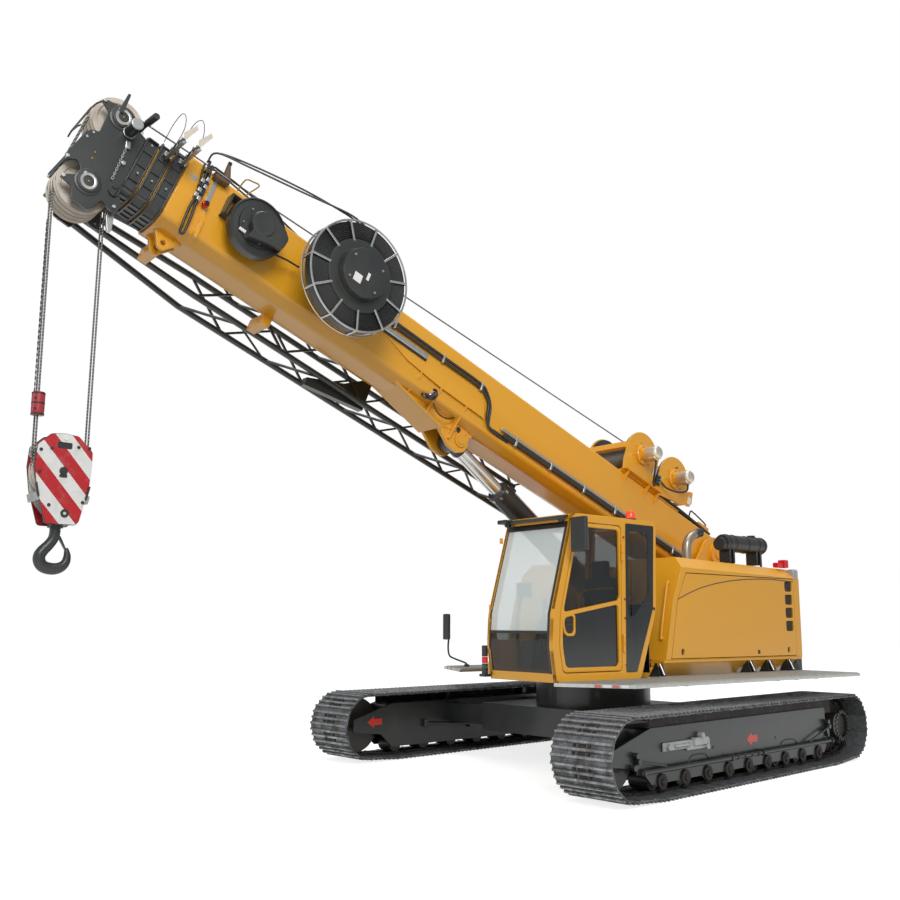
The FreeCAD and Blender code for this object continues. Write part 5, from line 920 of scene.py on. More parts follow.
for low, near in ((0.06, 0.06), (-0.1, -0.1)):
    nose_lug = [(8.04, BELLY + 0.01), (8.10, -0.52), (8.145, -0.575), (8.175, -0.615), (8.21, -0.625), (8.245, -0.615),
                (8.275, -0.575), (8.3, -0.52), (8.35, BELLY + 0.01)]
    panel(boom, nose_lug, low, low + 0.04, holes=[([(8.21 + 0.026 * math.cos(turn), -0.555 + 0.026 * math.sin(turn))
          for turn in [math.radians(30 * k) for k in range(12)]], 0.0)], edge=0.005)
panel(boom, [(8.02, -0.45), (8.02, -0.25), (8.06, -0.14), (8.085, -0.14), (8.05, -0.25), (8.05, -0.45)], 0.29, 0.334,
      edge=0.003)
for along in (8.20, 6.94):
    bar(boom, (along - 0.05, -0.42, BELLY - 0.115), (along + 0.05, -0.1, BELLY + 0.01), cut=0.006)
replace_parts(fit(boom, "boom_base_weldment", "boom_foot", "yellow_paint", yellow, trim_black, plated, place=on_boom),
            "boom_base")

# Boom side fittings. Two rubber hoses in zinc clips run along the fold to the cylinder, aluminium
# hose rails lie above and behind the gusset, and a round work lamp hangs under it.
fittings = bmesh.new()
for rise, drop in ((0.0, 0.0), (-0.045, 0.03)):
    hose(fittings, flow([(6.15, 0.35, 0.05 + rise), (5.8, 0.35, 0.05 + rise), (5.11, 0.35, 0.048 + rise),
                         (4.56, 0.35, 0.048 + rise), (4.42, 0.35, 0.0 + rise), (4.32 + drop, 0.35, -0.12),
                         (4.285 + drop, 0.345, -0.26), (4.24, 0.33, -0.34), (4.1, 0.31, -0.335 + rise / 2),
                         (3.9, 0.3, -0.33 + rise / 2)]), 0.015)
for along, up in ((5.81, 0.03), (5.11, 0.03), (4.52, 0.022)):
    bar(fittings, (along - 0.015, 0.327, up - 0.055), (along + 0.015, 0.372, up + 0.045), cut=0.006, paint=1)
bar(fittings, (5.3, 0.33, -0.1), (5.93, 0.358, -0.045), cut=0.006, paint=1)
bar(fittings, (5.3, 0.329, -0.118), (5.95, 0.345, -0.102), cut=0.003)
bar(fittings, (0.6, 0.33, -0.29), (4.07, 0.35, -0.255), cut=0.005, paint=1)
bar(fittings, (0.6, 0.31, -0.35), (4.0, 0.345, -0.295), cut=0.006)
for index in range(6):
    bar(fittings, (0.8 + index * 0.6, 0.3, -0.36), (0.83 + index * 0.6, 0.356, -0.25), cut=0.003, paint=1)
hose(fittings, flow([(5.005, 0.28, -0.46), (4.9, 0.26, -0.52), (4.76, 0.25, -0.51), (4.63, 0.22, -0.42),
                     (4.5, 0.2, -0.39), (4.35, 0.22, -0.33), (4.22, 0.27, -0.31)]), 0.008)
hose(fittings, flow([(5.14, 0.24, -0.4), (5.17, 0.27, -0.45), (5.13, 0.3, -0.47), (5.08, 0.3, -0.44)]), 0.012)
lamp_aim = (Matrix.Translation((5.075, 0.3, -0.395)) @ Matrix.Rotation(math.radians(62), 4, "Y")
            @ Matrix.Rotation(math.radians(-30), 4, "X"))
lathe(fittings, [(0.0, -0.055), (0.04, -0.05), (0.066, -0.02), (0.072, 0.015), (0.072, 0.03), (0.06, 0.032), (0.057, 0.02),
                 (0.0, 0.018)], lamp_aim, sides=28)
bar(fittings, (-0.036, -0.02, 0.019), (0.036, 0.018, 0.0235), cut=0.006, paint=2, place=lamp_aim)
for index in range(7):
    bar(fittings, (-0.05 + index * 0.014, -0.05, -0.03), (-0.046 + index * 0.014, 0.05, -0.005), place=lamp_aim)
fit(fittings, "boom_hoses_and_rails", "boom_foot", "silver_metal", trim_black, plated, mirror_glass, place=on_boom)

# Boom nose fittings. A hose bundle with plated couplings hangs down to the stowed jib's ear, and a
# red lamp, a blank plate and a small rope tray sit beside it.
nose_kit = bmesh.new()
hose(nose_kit, flow([(8.208, 0.34, 0.3), (8.197, 0.365, 0.125), (8.18, 0.365, -0.085), (8.2, 0.36, -0.2),
                     (8.19, 0.35, -0.4), (8.172, 0.33, -0.495), (8.14, 0.33, -0.47), (8.15, 0.35, -0.3),
                     (8.165, 0.36, -0.15), (8.15, 0.36, -0.02)]), 0.013)
hose(nose_kit, flow([(8.17, 0.33, 0.28), (8.165, 0.36, 0.14), (8.15, 0.36, 0.0), (8.15, 0.36, -0.1)]), 0.013)
hose(nose_kit, flow([(8.24, 0.33, 0.25), (8.235, 0.36, 0.14), (8.21, 0.36, 0.02), (8.2, 0.36, -0.08)]), 0.011)
for along, up in ((8.16, 0.1), (8.155, 0.02), (8.19, -0.04), (8.2, -0.1), (8.165, -0.12), (8.2, 0.06)):
    bar(nose_kit, (along - 0.02, 0.345, up - 0.022), (along + 0.02, 0.388, up + 0.022), cut=0.008, segments=2, paint=1)
for along, up in ((8.16, 0.06), (8.2, 0.01), (8.16, -0.06), (8.2, 0.17)):
    bar(nose_kit, (along - 0.022, 0.34, up - 0.014), (along + 0.022, 0.385, up + 0.014), cut=0.006, paint=0)
hose(nose_kit, [(8.2, 0.3, 0.27), (8.12, 0.25, 0.34), (7.9, 0.2, 0.37), (7.3, 0.2, 0.33), (6.9, 0.2, 0.26)], 0.01)
hose(nose_kit, [(8.2, 0.3, 0.25), (8.1, 0.28, 0.3), (7.8, 0.25, 0.29), (7.5, 0.25, 0.27), (7.1, 0.22, 0.25)], 0.009)
panel(nose_kit, [(8.1, 0.16), (8.1, 0.01), (8.08, -0.16), (8.05, -0.16), (8.055, 0.01), (8.06, 0.16)], 0.33, 0.342,
      corner=0.012, edge=0.002, paint=1)
disc(nose_kit, 0.033, 0.05, crosswise(8.085, 0.365, -0.123), sides=24, paint=2, cut=0.008)
disc(nose_kit, 0.024, 0.02, crosswise(8.085, 0.395, -0.123), sides=24, paint=3, cut=0.005)
bar(nose_kit, (8.24, 0.337, 0.035), (8.31, 0.3395, 0.08), cut=0.001, paint=1)
bar(nose_kit, (7.98, 0.3, 0.16), (8.13, 0.42, 0.2), cut=0.008, paint=4)
bar(nose_kit, (7.97, 0.31, 0.2), (8.14, 0.43, 0.207), cut=0.003, paint=1)
disc(nose_kit, 0.045, 0.17, Matrix.Translation((8.03, 0.37, 0.29)) @ Matrix.Rotation(math.radians(12), 4, "Y"), sides=20,
     tip=0.018, paint=4)
disc(nose_kit, 0.02, 0.03, Matrix.Translation((8.045, 0.37, 0.385)), sides=16, paint=0)
fit(nose_kit, "boom_nose_fittings", "boom_foot", "silver_metal", trim_black, plated, red_lens, border_black, line_brown,
    place=on_boom)

# Inner sections. Three lighter boxes slide in the base on plastic pads, each ending in a cast collar
# with ribs round its pockets, painted charcoal like the head.
for number, body in ((2, "boom_second"), (3, "boom_third"), (4, "boom_tip")):
    step = 0.027 * (number - 1)
    front = 8.38 + 0.132 * (number - 2)
    tube = bmesh.new()
    panel(tube, box_rim(step), 0.06 * (number - 1), front + 0.05, axis="X", holes=[(box_rim(step + 0.012), 0.03)],
          corner=0.035, edge=0.002)
    collar = step - 0.022
    core = box_rim(collar + 0.014)
    panel(tube, core, front, front + 0.122, axis="X", holes=[(box_rim(step + 0.006), 0.03)], corner=0.035, edge=0.003,
          paint=1)
    for low, thick in ((0.0, 0.016), (0.106, 0.016)):
        panel(tube, box_rim(collar), front + low, front + low + thick, axis="X", holes=[(box_rim(step + 0.008), 0.03)],
              corner=0.04, edge=0.004, paint=1)
    for sign in (1, -1):
        side = HALF - collar
        for up in (0.17, 0.03, -0.12, -0.27, -0.38):
            reach = side if up > FOLD else side - (FOLD - up) * 0.16
            bar(tube, (front + 0.01, sign * (reach - 0.03), up - 0.007), (front + 0.112, sign * (reach - 0.001), up + 0.007),
                cut=0.002, paint=1)
        for y in (0.08, 0.22):
            bar(tube, (front + 0.01, sign * y - 0.006, TOP - collar - 0.03), (front + 0.112, sign * y + 0.006,
                TOP - collar - 0.001), cut=0.002, paint=1)
            bar(tube, (front + 0.01, sign * y * 0.6 - 0.006, BELLY + collar + 0.001),
                (front + 0.112, sign * y * 0.6 + 0.006, BELLY + collar + 0.03), cut=0.002, paint=1)
        for up in (0.12, -0.2):
            disc(tube, 0.011, 0.014, crosswise(front + 0.06, sign * (side - 0.012), up), sides=6, paint=2)
    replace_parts(fit(tube, "boom_section_%d_box" % number, body, "yellow_paint", yellow, charcoal, plated,
                    place=on_boom), "boom_section_%d" % number)

# Boom head. Two thick flame-cut plates in charcoal enamel hold the sheave pins in bossed hubs with
# plated retaining rings; a tube, a grip, a lever and a short chain are fixed to the left plate.
brass = bare_metal("brass_stud", "#b58a2e", "#8c6a26", roughness=0.3)
HEAD = [(8.767, 0.15), (8.88, 0.18), (8.94, 0.27), (9.04, 0.285), (9.2, 0.25), (9.232, 0.215), (9.143, 0.16),
        (9.13, -0.065), (9.191, -0.09), (9.225, -0.14), (9.28, -0.44), (9.25, -0.47), (9.177, -0.42), (9.125, -0.462),
        (9.12, -0.54), (9.215, -0.605), (9.232, -0.642), (9.115, -0.66), (9.08, -0.762), (8.915, -0.777),
        (8.856, -0.616), (8.775, -0.655), (8.705, -0.655), (8.692, -0.567), (8.767, -0.45)]
head = bmesh.new()
panel(head, [(-0.22, -0.31), (0.22, -0.31), (0.22, 0.18), (-0.22, 0.18)], 8.757, 8.766, axis="X", edge=0.002)
for sign in (1, -1):
    face = sign * 0.245
    panel(head, HEAD, sign * 0.215, face, corner=0.016, steps=3, edge=0.004)
    for along, up in ((9.02, 0.18), (9.02, -0.55)):
        hub = crosswise(along, face, up) if sign > 0 else crosswise(along, face, up) @ Matrix.Rotation(math.pi, 4, "X")
        lathe(head, [(0.0, 0.0), (0.118, 0.0), (0.118, 0.007), (0.112, 0.011), (0.094, 0.012), (0.092, 0.014),
                     (0.092, 0.024), (0.088, 0.027), (0.0, 0.027)], hub, sides=40)
        lathe(head, [(0.048, 0.02), (0.048, 0.034), (0.055, 0.036), (0.07, 0.036), (0.074, 0.032), (0.074, 0.02)], hub,
              sides=36, paint=1)
        lathe(head, [(0.0, 0.022), (0.047, 0.022), (0.047, 0.026), (0.0, 0.026)], hub, sides=6, paint=2)
        lathe(head, [(0.0, 0.026), (0.009, 0.026), (0.009, 0.033), (0.0, 0.034)], hub, sides=12, paint=3)
        bar(head, (0.05, -0.016, 0.028), (0.086, 0.016, 0.04), cut=0.004, paint=1,
            place=hub @ Matrix.Rotation(-0.7, 4, "Z"))
        disc(head, 0.045, 0.36, crosswise(along, 0, up), sides=24, paint=1)
    for along, up in ((9.21, 0.225), (9.256, -0.445), (9.21, -0.625), (8.745, -0.612)):
        disc(head, 0.015, 0.05, crosswise(along, sign * 0.24, up), sides=16, paint=1, cut=0.003)
    hose(head, [(9.205, sign * 0.25, 0.24), (9.26, sign * 0.25, 0.15), (9.282, sign * 0.25, 0.07),
                (9.284, sign * 0.25, 0.0)], 0.008)
    for along, up in ((9.17, -0.11), (9.2, -0.18)):
        disc(head, 0.012, 0.01, crosswise(along, face + sign * 0.004, up), sides=6, paint=1)
hose(head, [(9.282, -0.26, 0.07), (9.282, 0.26, 0.07)], 0.009)
hose(head, [(9.256, -0.257, -0.445), (9.256, 0.257, -0.445)], 0.013)
disc(head, 0.05, 0.2, crosswise(8.92, 0.35, 0.09), sides=36, cut=0.004)
disc(head, 0.0535, 0.012, crosswise(8.92, 0.456, 0.09), sides=36, paint=1, cut=0.003)
disc(head, 0.056, 0.022, crosswise(8.92, 0.26, 0.09), sides=36, paint=1, cut=0.004)
disc(head, 0.049, 0.008, crosswise(8.92, 0.464, 0.09), sides=36, paint=1, cut=0.002)
hose(head, [(8.85, 0.2, 0.2), (8.845, 0.3, 0.215), (8.83, 0.4, 0.235)], 0.024, sides=20)
hose(head, [(8.837, 0.35, 0.225), (8.818, 0.49, 0.252)], 0.031, sides=24)
disc(head, 0.0245, 0.004, Matrix.Translation((8.8175, 0.4925, 0.2525)) @ Matrix.Rotation(-math.pi / 2, 4, "X"), sides=24,
     paint=2)
panel(head, [(9.04, 0.2), (9.085, 0.2), (9.08, 0.408), (9.055, 0.408)], 0.275, 0.289, corner=0.01, edge=0.003)
bar(head, (8.86, 0.245, -0.06), (8.905, 0.275, 0.01), cut=0.008, segments=2, paint=1, lean=(20, "Y"))
for index in range(15):
    share = index / 14
    link = Matrix.Translation((8.884 - 0.018 * share, 0.266, -0.05 - 0.335 * share)) @ Matrix.Rotation(
        math.radians(90 * (index % 2)), 4, "Z")
    lathe(head, [(0.0095 + 0.0035 * math.cos(turn), 0.0035 * math.sin(turn)) for turn in
                 [math.radians(60 * k) for k in range(7)]],
          link @ Matrix.Scale(1.6, 4, (0, 0, 1)) @ Matrix.Rotation(math.pi / 2, 4, "X"), sides=12, paint=1)
for along, up in ((9.084, -0.265), (9.082, -0.332)):
    disc(head, 0.009, 0.008, crosswise(along, 0.247, up), sides=12, paint=3)
disc(head, 0.02, 0.03, crosswise(8.845, 0.255, -0.2), sides=20, paint=1, cut=0.005)
panel(head, [(8.86, -0.36), (8.86, -0.5), (8.81, -0.54), (8.76, -0.52), (8.76, -0.4), (8.79, -0.35)], 0.243, 0.262,
      corner=0.03, edge=0.003)
disc(head, 0.026, 0.026, crosswise(8.815, 0.262, -0.44), sides=24, paint=2, cut=0.004)
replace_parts(fit(head, "boom_head_weldment", "boom_tip", "charcoal_paint", charcoal, plated, trim_black, brass,
                place=on_boom), "boom_head")

# Wedge socket. A plated casting pinned between the head plates holds the rope's dead end.
socket = bmesh.new()
plumb = on_boom.inverted().to_quaternion().to_matrix().to_4x4()
hang = Matrix.Translation((8.745, 0.15, -0.612)) @ plumb
for y in (-0.02, 0.012):
    panel(socket, [(-0.026, 0.03), (0.026, 0.03), (0.026, -0.07), (-0.026, -0.07)], y, y + 0.01, corner=0.018, edge=0.002,
          place=hang)
disc(socket, 0.015, 0.2, crosswise(8.745, 0.15, -0.612), sides=16)
panel(socket, [(-0.036, -0.05), (0.036, -0.05), (0.022, -0.17), (0.016, -0.2), (-0.016, -0.2), (-0.022, -0.17)], -0.019,
      0.019, corner=0.01, edge=0.004, place=hang)
disc(socket, 0.012, 0.05, hang @ crosswise(0, 0, -0.09), sides=12)
fit(socket, "rope_wedge_socket", "boom_tip", "silver_metal", plated, place=on_boom)

# Sheaves. Turned cream nylon with a deep rope groove, a thinner web and a raised hub.
cast_nylon = enamel("cast_nylon", "#cfc3b4", "#a08e78", roughness=0.45, dust=0.5, cloud_mm=160.0)
SHEAVE = [(0.047, -0.03), (0.085, -0.03), (0.09, -0.013), (0.18, -0.011), (0.19, -0.026), (0.235, -0.031),
          (0.233, -0.024), (0.219, -0.009), (0.2155, 0.0), (0.219, 0.009), (0.233, 0.024), (0.235, 0.031), (0.19, 0.026),
          (0.18, 0.011), (0.09, 0.013), (0.085, 0.03), (0.047, 0.03), (0.047, -0.03)]
for node, body, up in (("head_sheaves_upper", "upper_sheaves", 0.18), ("head_sheaves_lower", "lower_sheaves", -0.55)):
    row = bmesh.new()
    for index in range(4):
        lathe(row, SHEAVE, crosswise(9.02, (index - 1.5) * 0.074, up), sides=56)
    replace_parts(fit(row, node + "_row", body, "sheave_nylon", cast_nylon, place=on_boom), node)
block_middle = Vector((6.5236, 0.0, 5.3341 - 2.49))
row = bmesh.new()
for y in (-0.037, 0.037):
    lathe(row, [(radius * 0.957, height) for radius, height in SHEAVE], crosswise(block_middle.x, y, block_middle.z),
          sides=56)
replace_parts(fit(row, "block_sheaves_row", "block_wheels", "sheave_nylon", cast_nylon), "block_sheaves")

# Ropes. Galvanised steel strand with a fine lay, dull with lubricant; the falls keep their solids.
wire_rope, rope_tree, rope_shader = finish("wire_rope")
where = add(rope_tree, "TexCoord").outputs["Object"]
lay = add(rope_tree, "TexWave", {"Vector": where, "Scale": 22.0, "Distortion": 0.4}, bands_direction="DIAGONAL")
strand = add(rope_tree, "Mix", {"Factor": lay.outputs["Fac"], "A": linear("#3a3937"), "B": linear("#8f8d88")},
             data_type="RGBA")
rope_tree.links.new(strand.outputs["Result"], rope_shader.inputs["Base Color"])
rope_bump = add(rope_tree, "Bump", {"Strength": 0.5, "Distance": 0.002, "Height": lay.outputs["Fac"]})
rope_tree.links.new(rope_bump.outputs[0], rope_shader.inputs["Normal"])
rope_shader.inputs["Metallic"].default_value = 0.6
rope_shader.inputs["Roughness"].default_value = 0.5
coat(wire_rope, "hoist_rope")
lead = bmesh.new()
for y in (-0.037, 0.037):
    over = [(9.02 + 0.2235 * math.cos(turn), y, 0.18 + 0.2235 * math.sin(turn)) for turn in
            [math.radians(95 - 9.5 * k) for k in range(11)]]
    under = [(9.02 + 0.2235 * math.cos(turn), y, -0.55 + 0.2235 * math.sin(turn)) for turn in
             [math.radians(-7 * k) for k in range(4)]]
    hose(lead, over + under, 0.008)
    hose(lead, [(9.02 + 0.2235 * math.cos(turn), y * 3, -0.55 + 0.2235 * math.sin(turn)) for turn in
                [math.radians(-21 + 180 / 20 * k) for k in range(21)]], 0.008)
fit(lead, "rope_over_sheaves", "boom_tip", "wire_rope", wire_rope, place=on_boom)

# Luffing cylinder. A hard-chromed rod with a forged eye works in a black barrel with a screwed
# gland, a port block and a pressure pipe clipped along it.
chrome = bare_metal("hard_chrome", "#d4d3cf", "#b9b7b2", roughness=0.14, cloud_mm=300.0)
slide = joints["luff_barrel_slide"]["axis"]
eye = on_boom @ Vector((4.44, 0.0, -0.59))
downward = Matrix.Translation(eye) @ Vector(slide).to_track_quat("Z", "Y").to_matrix().to_4x4()
ram = bmesh.new()
lathe(ram, [(0.0, 0.06), (0.083, 0.06), (0.083, 2.565), (0.078, 2.57), (0.0, 2.57)], downward, sides=48)
lathe(ram, [(0.0455, -0.105), (0.105, -0.105), (0.112, -0.098), (0.112, 0.098), (0.105, 0.105), (0.0455, 0.105),
            (0.0455, -0.105)], crosswise(*eye), sides=40, paint=1)
lathe(ram, [(0.0, 0.07), (0.096, 0.07), (0.098, 0.09), (0.098, 0.15), (0.088, 0.17), (0.0, 0.17)], downward, sides=40,
      paint=1)
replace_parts(fit(ram, "luff_ram", "cylinder_rod", "chrome_rod", chrome, charcoal), "luff_rod")
barrel = bmesh.new()
lathe(barrel, [(0.0845, 0.846), (0.124, 0.846), (0.134, 0.856), (0.136, 0.866), (0.136, 0.93), (0.13, 0.945),
               (0.13, 3.12), (0.118, 3.19), (0.0, 3.2)], downward, sides=48)
lathe(barrel, [(0.0845, 0.85), (0.0845, 3.17), (0.0, 3.175)], downward, sides=40)
for turn in range(8):
    notch = downward @ Matrix.Rotation(math.radians(45 * turn), 4, "Z")
    bar(barrel, (0.1335, -0.014, 0.875), (0.1385, 0.014, 0.915), cut=0.002, place=notch, paint=1)
lathe(barrel, [(0.0, -0.123), (0.128, -0.123), (0.134, -0.117), (0.134, 0.117), (0.128, 0.123), (0.0, 0.123)],
      crosswise(*(downward @ Vector((0, 0, 3.3263)))), sides=40)
for low, high in ((0.96, 1.06), (3.02, 3.12)):
    bar(barrel, (-0.05, 0.115, low), (0.05, 0.175, high), cut=0.01, segments=2, place=downward)
hose(barrel, [(0.0, 0.155, 1.05), (0.0, 0.155, 3.03)], 0.014, paint=1, place=downward)
for along in (1.6, 2.3):
    bar(barrel, (-0.035, 0.12, along), (0.035, 0.165, along + 0.03), cut=0.003, paint=1, place=downward)
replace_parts(fit(barrel, "luff_barrel_body", "cylinder_barrel", "charcoal_paint", trim_black, plated), "luff_barrel")

# Winch cradle. Round-topped cheek plates on a rail with triangular ribs, a box beam in front and
# upturned tail plates, all welded and sprayed yellow with the boom.
cradle = bmesh.new()


def round_cheek(along, feet):
    """A cheek plate: feet, then a round top about the drum's middle."""
    return feet + [(along + 0.302 * math.cos(turn), 0.61 + 0.302 * math.sin(turn)) for turn in
                   [math.radians(-8 + 196 * k / 22) for k in range(23)]]


for sign in (1, -1):
    face = sign * 0.306
    panel(cradle, round_cheek(1.76, [(1.47, 0.37), (1.33, 0.25), (2.03, 0.25), (2.06, 0.4)]), face, face + sign * 0.025,
          edge=0.005)
    panel(cradle, round_cheek(1.07, [(0.72, 0.6), (0.645, 0.62), (0.625, 0.45), (0.84, 0.345), (1.36, 0.262),
                                     (1.4, 0.3)]), face, face + sign * 0.025, edge=0.005)
    panel(cradle, [(1.505, 0.36), (1.45, 0.38), (1.445, 0.7), (1.475, 0.72), (1.505, 0.6)], face + sign * 0.02,
          face + sign * 0.034, edge=0.003)
    panel(cradle, [(0.66, 0.4), (0.74, 0.37), (0.75, 0.58), (0.66, 0.61)], face + sign * 0.02, face + sign * 0.032,
          edge=0.003)
    bar(cradle, (1.32, sign * 0.3, 0.262), (2.06, sign * 0.41, 0.276), cut=0.004)
    bar(cradle, (1.33, sign * 0.3, 0.24), (2.05, sign * 0.325, 0.265), cut=0.003)
    for along in (1.985, 1.57, 1.355):
        rib = [(sign * 0.327, 0.262), (sign * 0.4, 0.262), (sign * 0.332, 0.1), (sign * 0.327, 0.1)]
        panel(cradle, rib, along - 0.007, along + 0.007, axis="X", edge=0.002)
    for along in (1.76, 1.07):
        for k in range(8):
            turn = math.radians(45 * k + 22)
            disc(cradle, 0.011, 0.012, crosswise(along + 0.165 * math.cos(turn), sign * 0.336,
                                                 0.61 + 0.165 * math.sin(turn)), sides=6)
bar(cradle, (0.84, -0.32, 0.241), (2.07, 0.32, 0.258), cut=0.003)
bar(cradle, (2.03, -0.32, 0.565), (2.09, 0.32, 0.65), cut=0.01, segments=2)
bar(cradle, (0.63, -0.31, 0.45), (0.66, 0.31, 0.5), cut=0.004)
bar(cradle, (1.04, 0.333, 0.775), (1.1, 0.336, 0.79), paint=1, lean=(28, "Y"))
for along, up in ((1.48, 0.5), (0.7, 0.47)):
    bar(cradle, (along - 0.035, 0.3395, up - 0.05), (along + 0.035, 0.3415, up + 0.05), cut=0.0006, paint=2)
hose(cradle, flow([(0.56, 0.28, 0.25), (0.56, 0.28, 0.38), (0.5, 0.28, 0.4), (0.25, 0.28, 0.37), (0.19, 0.28, 0.34),
                   (0.19, 0.28, 0.25)], 4), 0.01, paint=1)
hose(cradle, flow([(1.0, 0.2, 0.25), (0.9, 0.25, 0.29), (0.6, 0.27, 0.285), (0.4, 0.27, 0.275), (0.2, 0.26, 0.3)], 5),
     0.03, sides=16, paint=1)
hose(cradle, flow([(1.36, 0.27, 0.25), (1.1, 0.28, 0.3), (0.8, 0.28, 0.3), (0.45, 0.3, 0.27), (0.1, 0.29, 0.26)], 5),
     0.022, sides=16, paint=1)
bar(cradle, (0.13, 0.2, 0.24), (0.36, 0.3, 0.33), cut=0.01, segments=2)
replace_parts(fit(cradle, "winch_cradle_weldment", "boom_foot", "yellow_paint", yellow, trim_black, strip_white,
                place=on_boom), "winch_cradle")

# Winch motors. Cast aluminium covers, bare and slightly milky, with a bolted flange; a black hose
# loops from each one down to the valve block between the winches.
cast_aluminium = bare_metal("cast_aluminium", "#e2ddd2", "#b8a98f", roughness=0.42, cloud_mm=90.0)
motors = bmesh.new()
for along in (1.76, 1.07):
    seat = crosswise(along, 0.332, 0.61)
    lathe(motors, [(0.0, 0.0), (0.128, 0.0), (0.13, 0.004), (0.13, 0.03), (0.122, 0.038), (0.092, 0.04), (0.09, 0.06),
                   (0.09, 0.1), (0.0, 0.1)], seat, sides=40, paint=1)
    lathe(motors, [(0.0, 0.1), (0.092, 0.1), (0.092, 0.22), (0.086, 0.25), (0.07, 0.27), (0.04, 0.277), (0.0, 0.278)],
          seat, sides=40)
    bar(motors, (-0.05, 0.04, 0.13), (0.05, 0.1, 0.25), cut=0.02, segments=3, place=seat)
    for k in range(6):
        turn = math.radians(60 * k)
        disc(motors, 0.012, 0.012, seat @ Matrix.Translation((0.11 * math.cos(turn), 0.11 * math.sin(turn), 0.04)),
             sides=6, paint=2)
hose(motors, flow([(1.73, 0.55, 0.53), (1.72, 0.56, 0.42), (1.64, 0.5, 0.34), (1.52, 0.4, 0.33), (1.42, 0.35, 0.36)]),
     0.013, paint=3)
hose(motors, flow([(1.04, 0.55, 0.53), (1.05, 0.56, 0.42), (1.13, 0.5, 0.37), (1.25, 0.4, 0.38), (1.34, 0.35, 0.44)]),
     0.013, paint=3)
bar(motors, (1.345, 0.28, 0.37), (1.43, 0.36, 0.5), cut=0.01, segments=2, paint=3)
for up in (0.4, 0.44, 0.48):
    disc(motors, 0.014, 0.035, crosswise(1.38, 0.37, up), sides=12, paint=2)
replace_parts(fit(motors, "winch_motor_covers", "boom_foot", "silver_metal", cast_aluminium, yellow, plated, trim_black,
                place=on_boom), "winch_motors")

# Winch drums. Each is a grooved steel drum between charcoal flanges, full of wound wire rope.
for place, along in (("front", 1.76), ("rear", 1.07)):
    drum = bmesh.new()
    spool = crosswise(along, 0, 0.61)
    turns = [(0.2, -0.274)]
    for index in range(32):
        turns += [(0.2075, -0.27 + index * 0.017 + 0.006), (0.2005, -0.27 + index * 0.017 + 0.0145)]
    turns += [(0.2, 0.274)]
    lathe(drum, turns, spool, sides=48, paint=1)
    for low in (-0.298, 0.274):
        lathe(drum, [(0.0, low), (0.284, low), (0.289, low + 0.004), (0.289, low + 0.02), (0.284, low + 0.024),
                     (0.0, low + 0.024)], spool, sides=48)
    disc(drum, 0.059, 0.6, spool, sides=28)
    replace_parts(fit(drum, "winch_drum_%s_wound" % place, place + "_drum", "drum_steel", charcoal, wire_rope,
                    place=on_boom), "winch_drum_" + place)

# Cable reels. The large one is a spoked hoop reel wound with black hose on a moulded spring housing;
# the small one is a closed black drum with a wedge-shaped cover.
reel = bmesh.new()
spot = crosswise(6.62, 0, -0.09)
coil = [(0.29, 0.725)]
for index in range(13):
    coil += [(0.3 + index * 0.0185, 0.735), (0.309 + index * 0.0185, 0.725)]
coil += [(0.541, 0.75), (0.541, 0.835)]
for index in reversed(range(13)):
    coil += [(0.309 + index * 0.0185, 0.86), (0.3 + index * 0.0185, 0.85)]
coil += [(0.29, 0.86), (0.29, 0.725)]
lathe(reel, coil, spot, sides=64, paint=1)
for height in (0.703, 0.868):
    lathe(reel, [(0.548 + 0.011 * math.cos(turn), height + 0.009 * math.sin(turn)) for turn in
                 [math.radians(60 * k) for k in range(7)]], spot, sides=72, paint=2)
for index in range(11):
    spin = spot @ Matrix.Rotation(2 * math.pi * (index + 0.3) / 11, 4, "Z")
    bar(reel, (0.34, -0.011, 0.862), (0.55, 0.011, 0.8785), cut=0.003, paint=2, place=spin)
    bar(reel, (0.2, -0.011, 0.702), (0.55, 0.011, 0.712), cut=0.003, paint=2, place=spin)
    bar(reel, (0.542, -0.009, 0.705), (0.554, 0.009, 0.87), cut=0.003, paint=2, place=spin)
lathe(reel, [(0.0, 0.7), (0.28, 0.7), (0.3, 0.72), (0.3, 0.845), (0.36, 0.868), (0.362, 0.874), (0.345, 0.878),
             (0.27, 0.88), (0.262, 0.89), (0.252, 0.955), (0.243, 0.968), (0.0, 0.969)], spot, sides=56)
for turn in (40, 140, 220, 330):
    disc(reel, 0.013, 0.012, spot @ Matrix.Translation((0.2 * math.cos(math.radians(turn)),
                                                       0.2 * math.sin(math.radians(turn)), 0.972)), sides=6, paint=2)
bar(reel, (0.02, 0.05, 0.9685), (0.11, 0.14, 0.9698), paint=3, place=spot)
bar(reel, (-0.05, -0.02, 0.9685), (-0.02, 0.06, 0.9698), paint=3, place=spot)
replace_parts(fit(reel, "cable_reel_large_wound", "large_reel", "reel_black", charcoal, trim_black, plated, strip_white,
                place=on_boom), "cable_reel_large")
reel = bmesh.new()
spot = crosswise(7.6, 0, -0.1)
lathe(reel, [(0.0, 0.432), (0.28, 0.432), (0.289, 0.44), (0.289, 0.53), (0.28, 0.54), (0.268, 0.54), (0.262, 0.53),
             (0.21, 0.535), (0.205, 0.55), (0.12, 0.556), (0.0, 0.557)], spot, sides=56, paint=1)
lathe(reel, [(0.0, 0.55), (0.12, 0.55), (0.12, 0.64), (0.11, 0.649), (0.0, 0.65)], spot, sides=40)
panel(reel, [(0.08, -0.2), (-0.26, -0.1), (-0.275, 0.02), (-0.22, 0.08), (-0.02, 0.17), (0.04, 0.14)], 0.555, 0.64,
      axis="Z", corner=0.02, edge=0.006, place=spot @ Matrix.Rotation(math.pi, 4, "X") @ Matrix.Translation((0, 0, -1.195)))
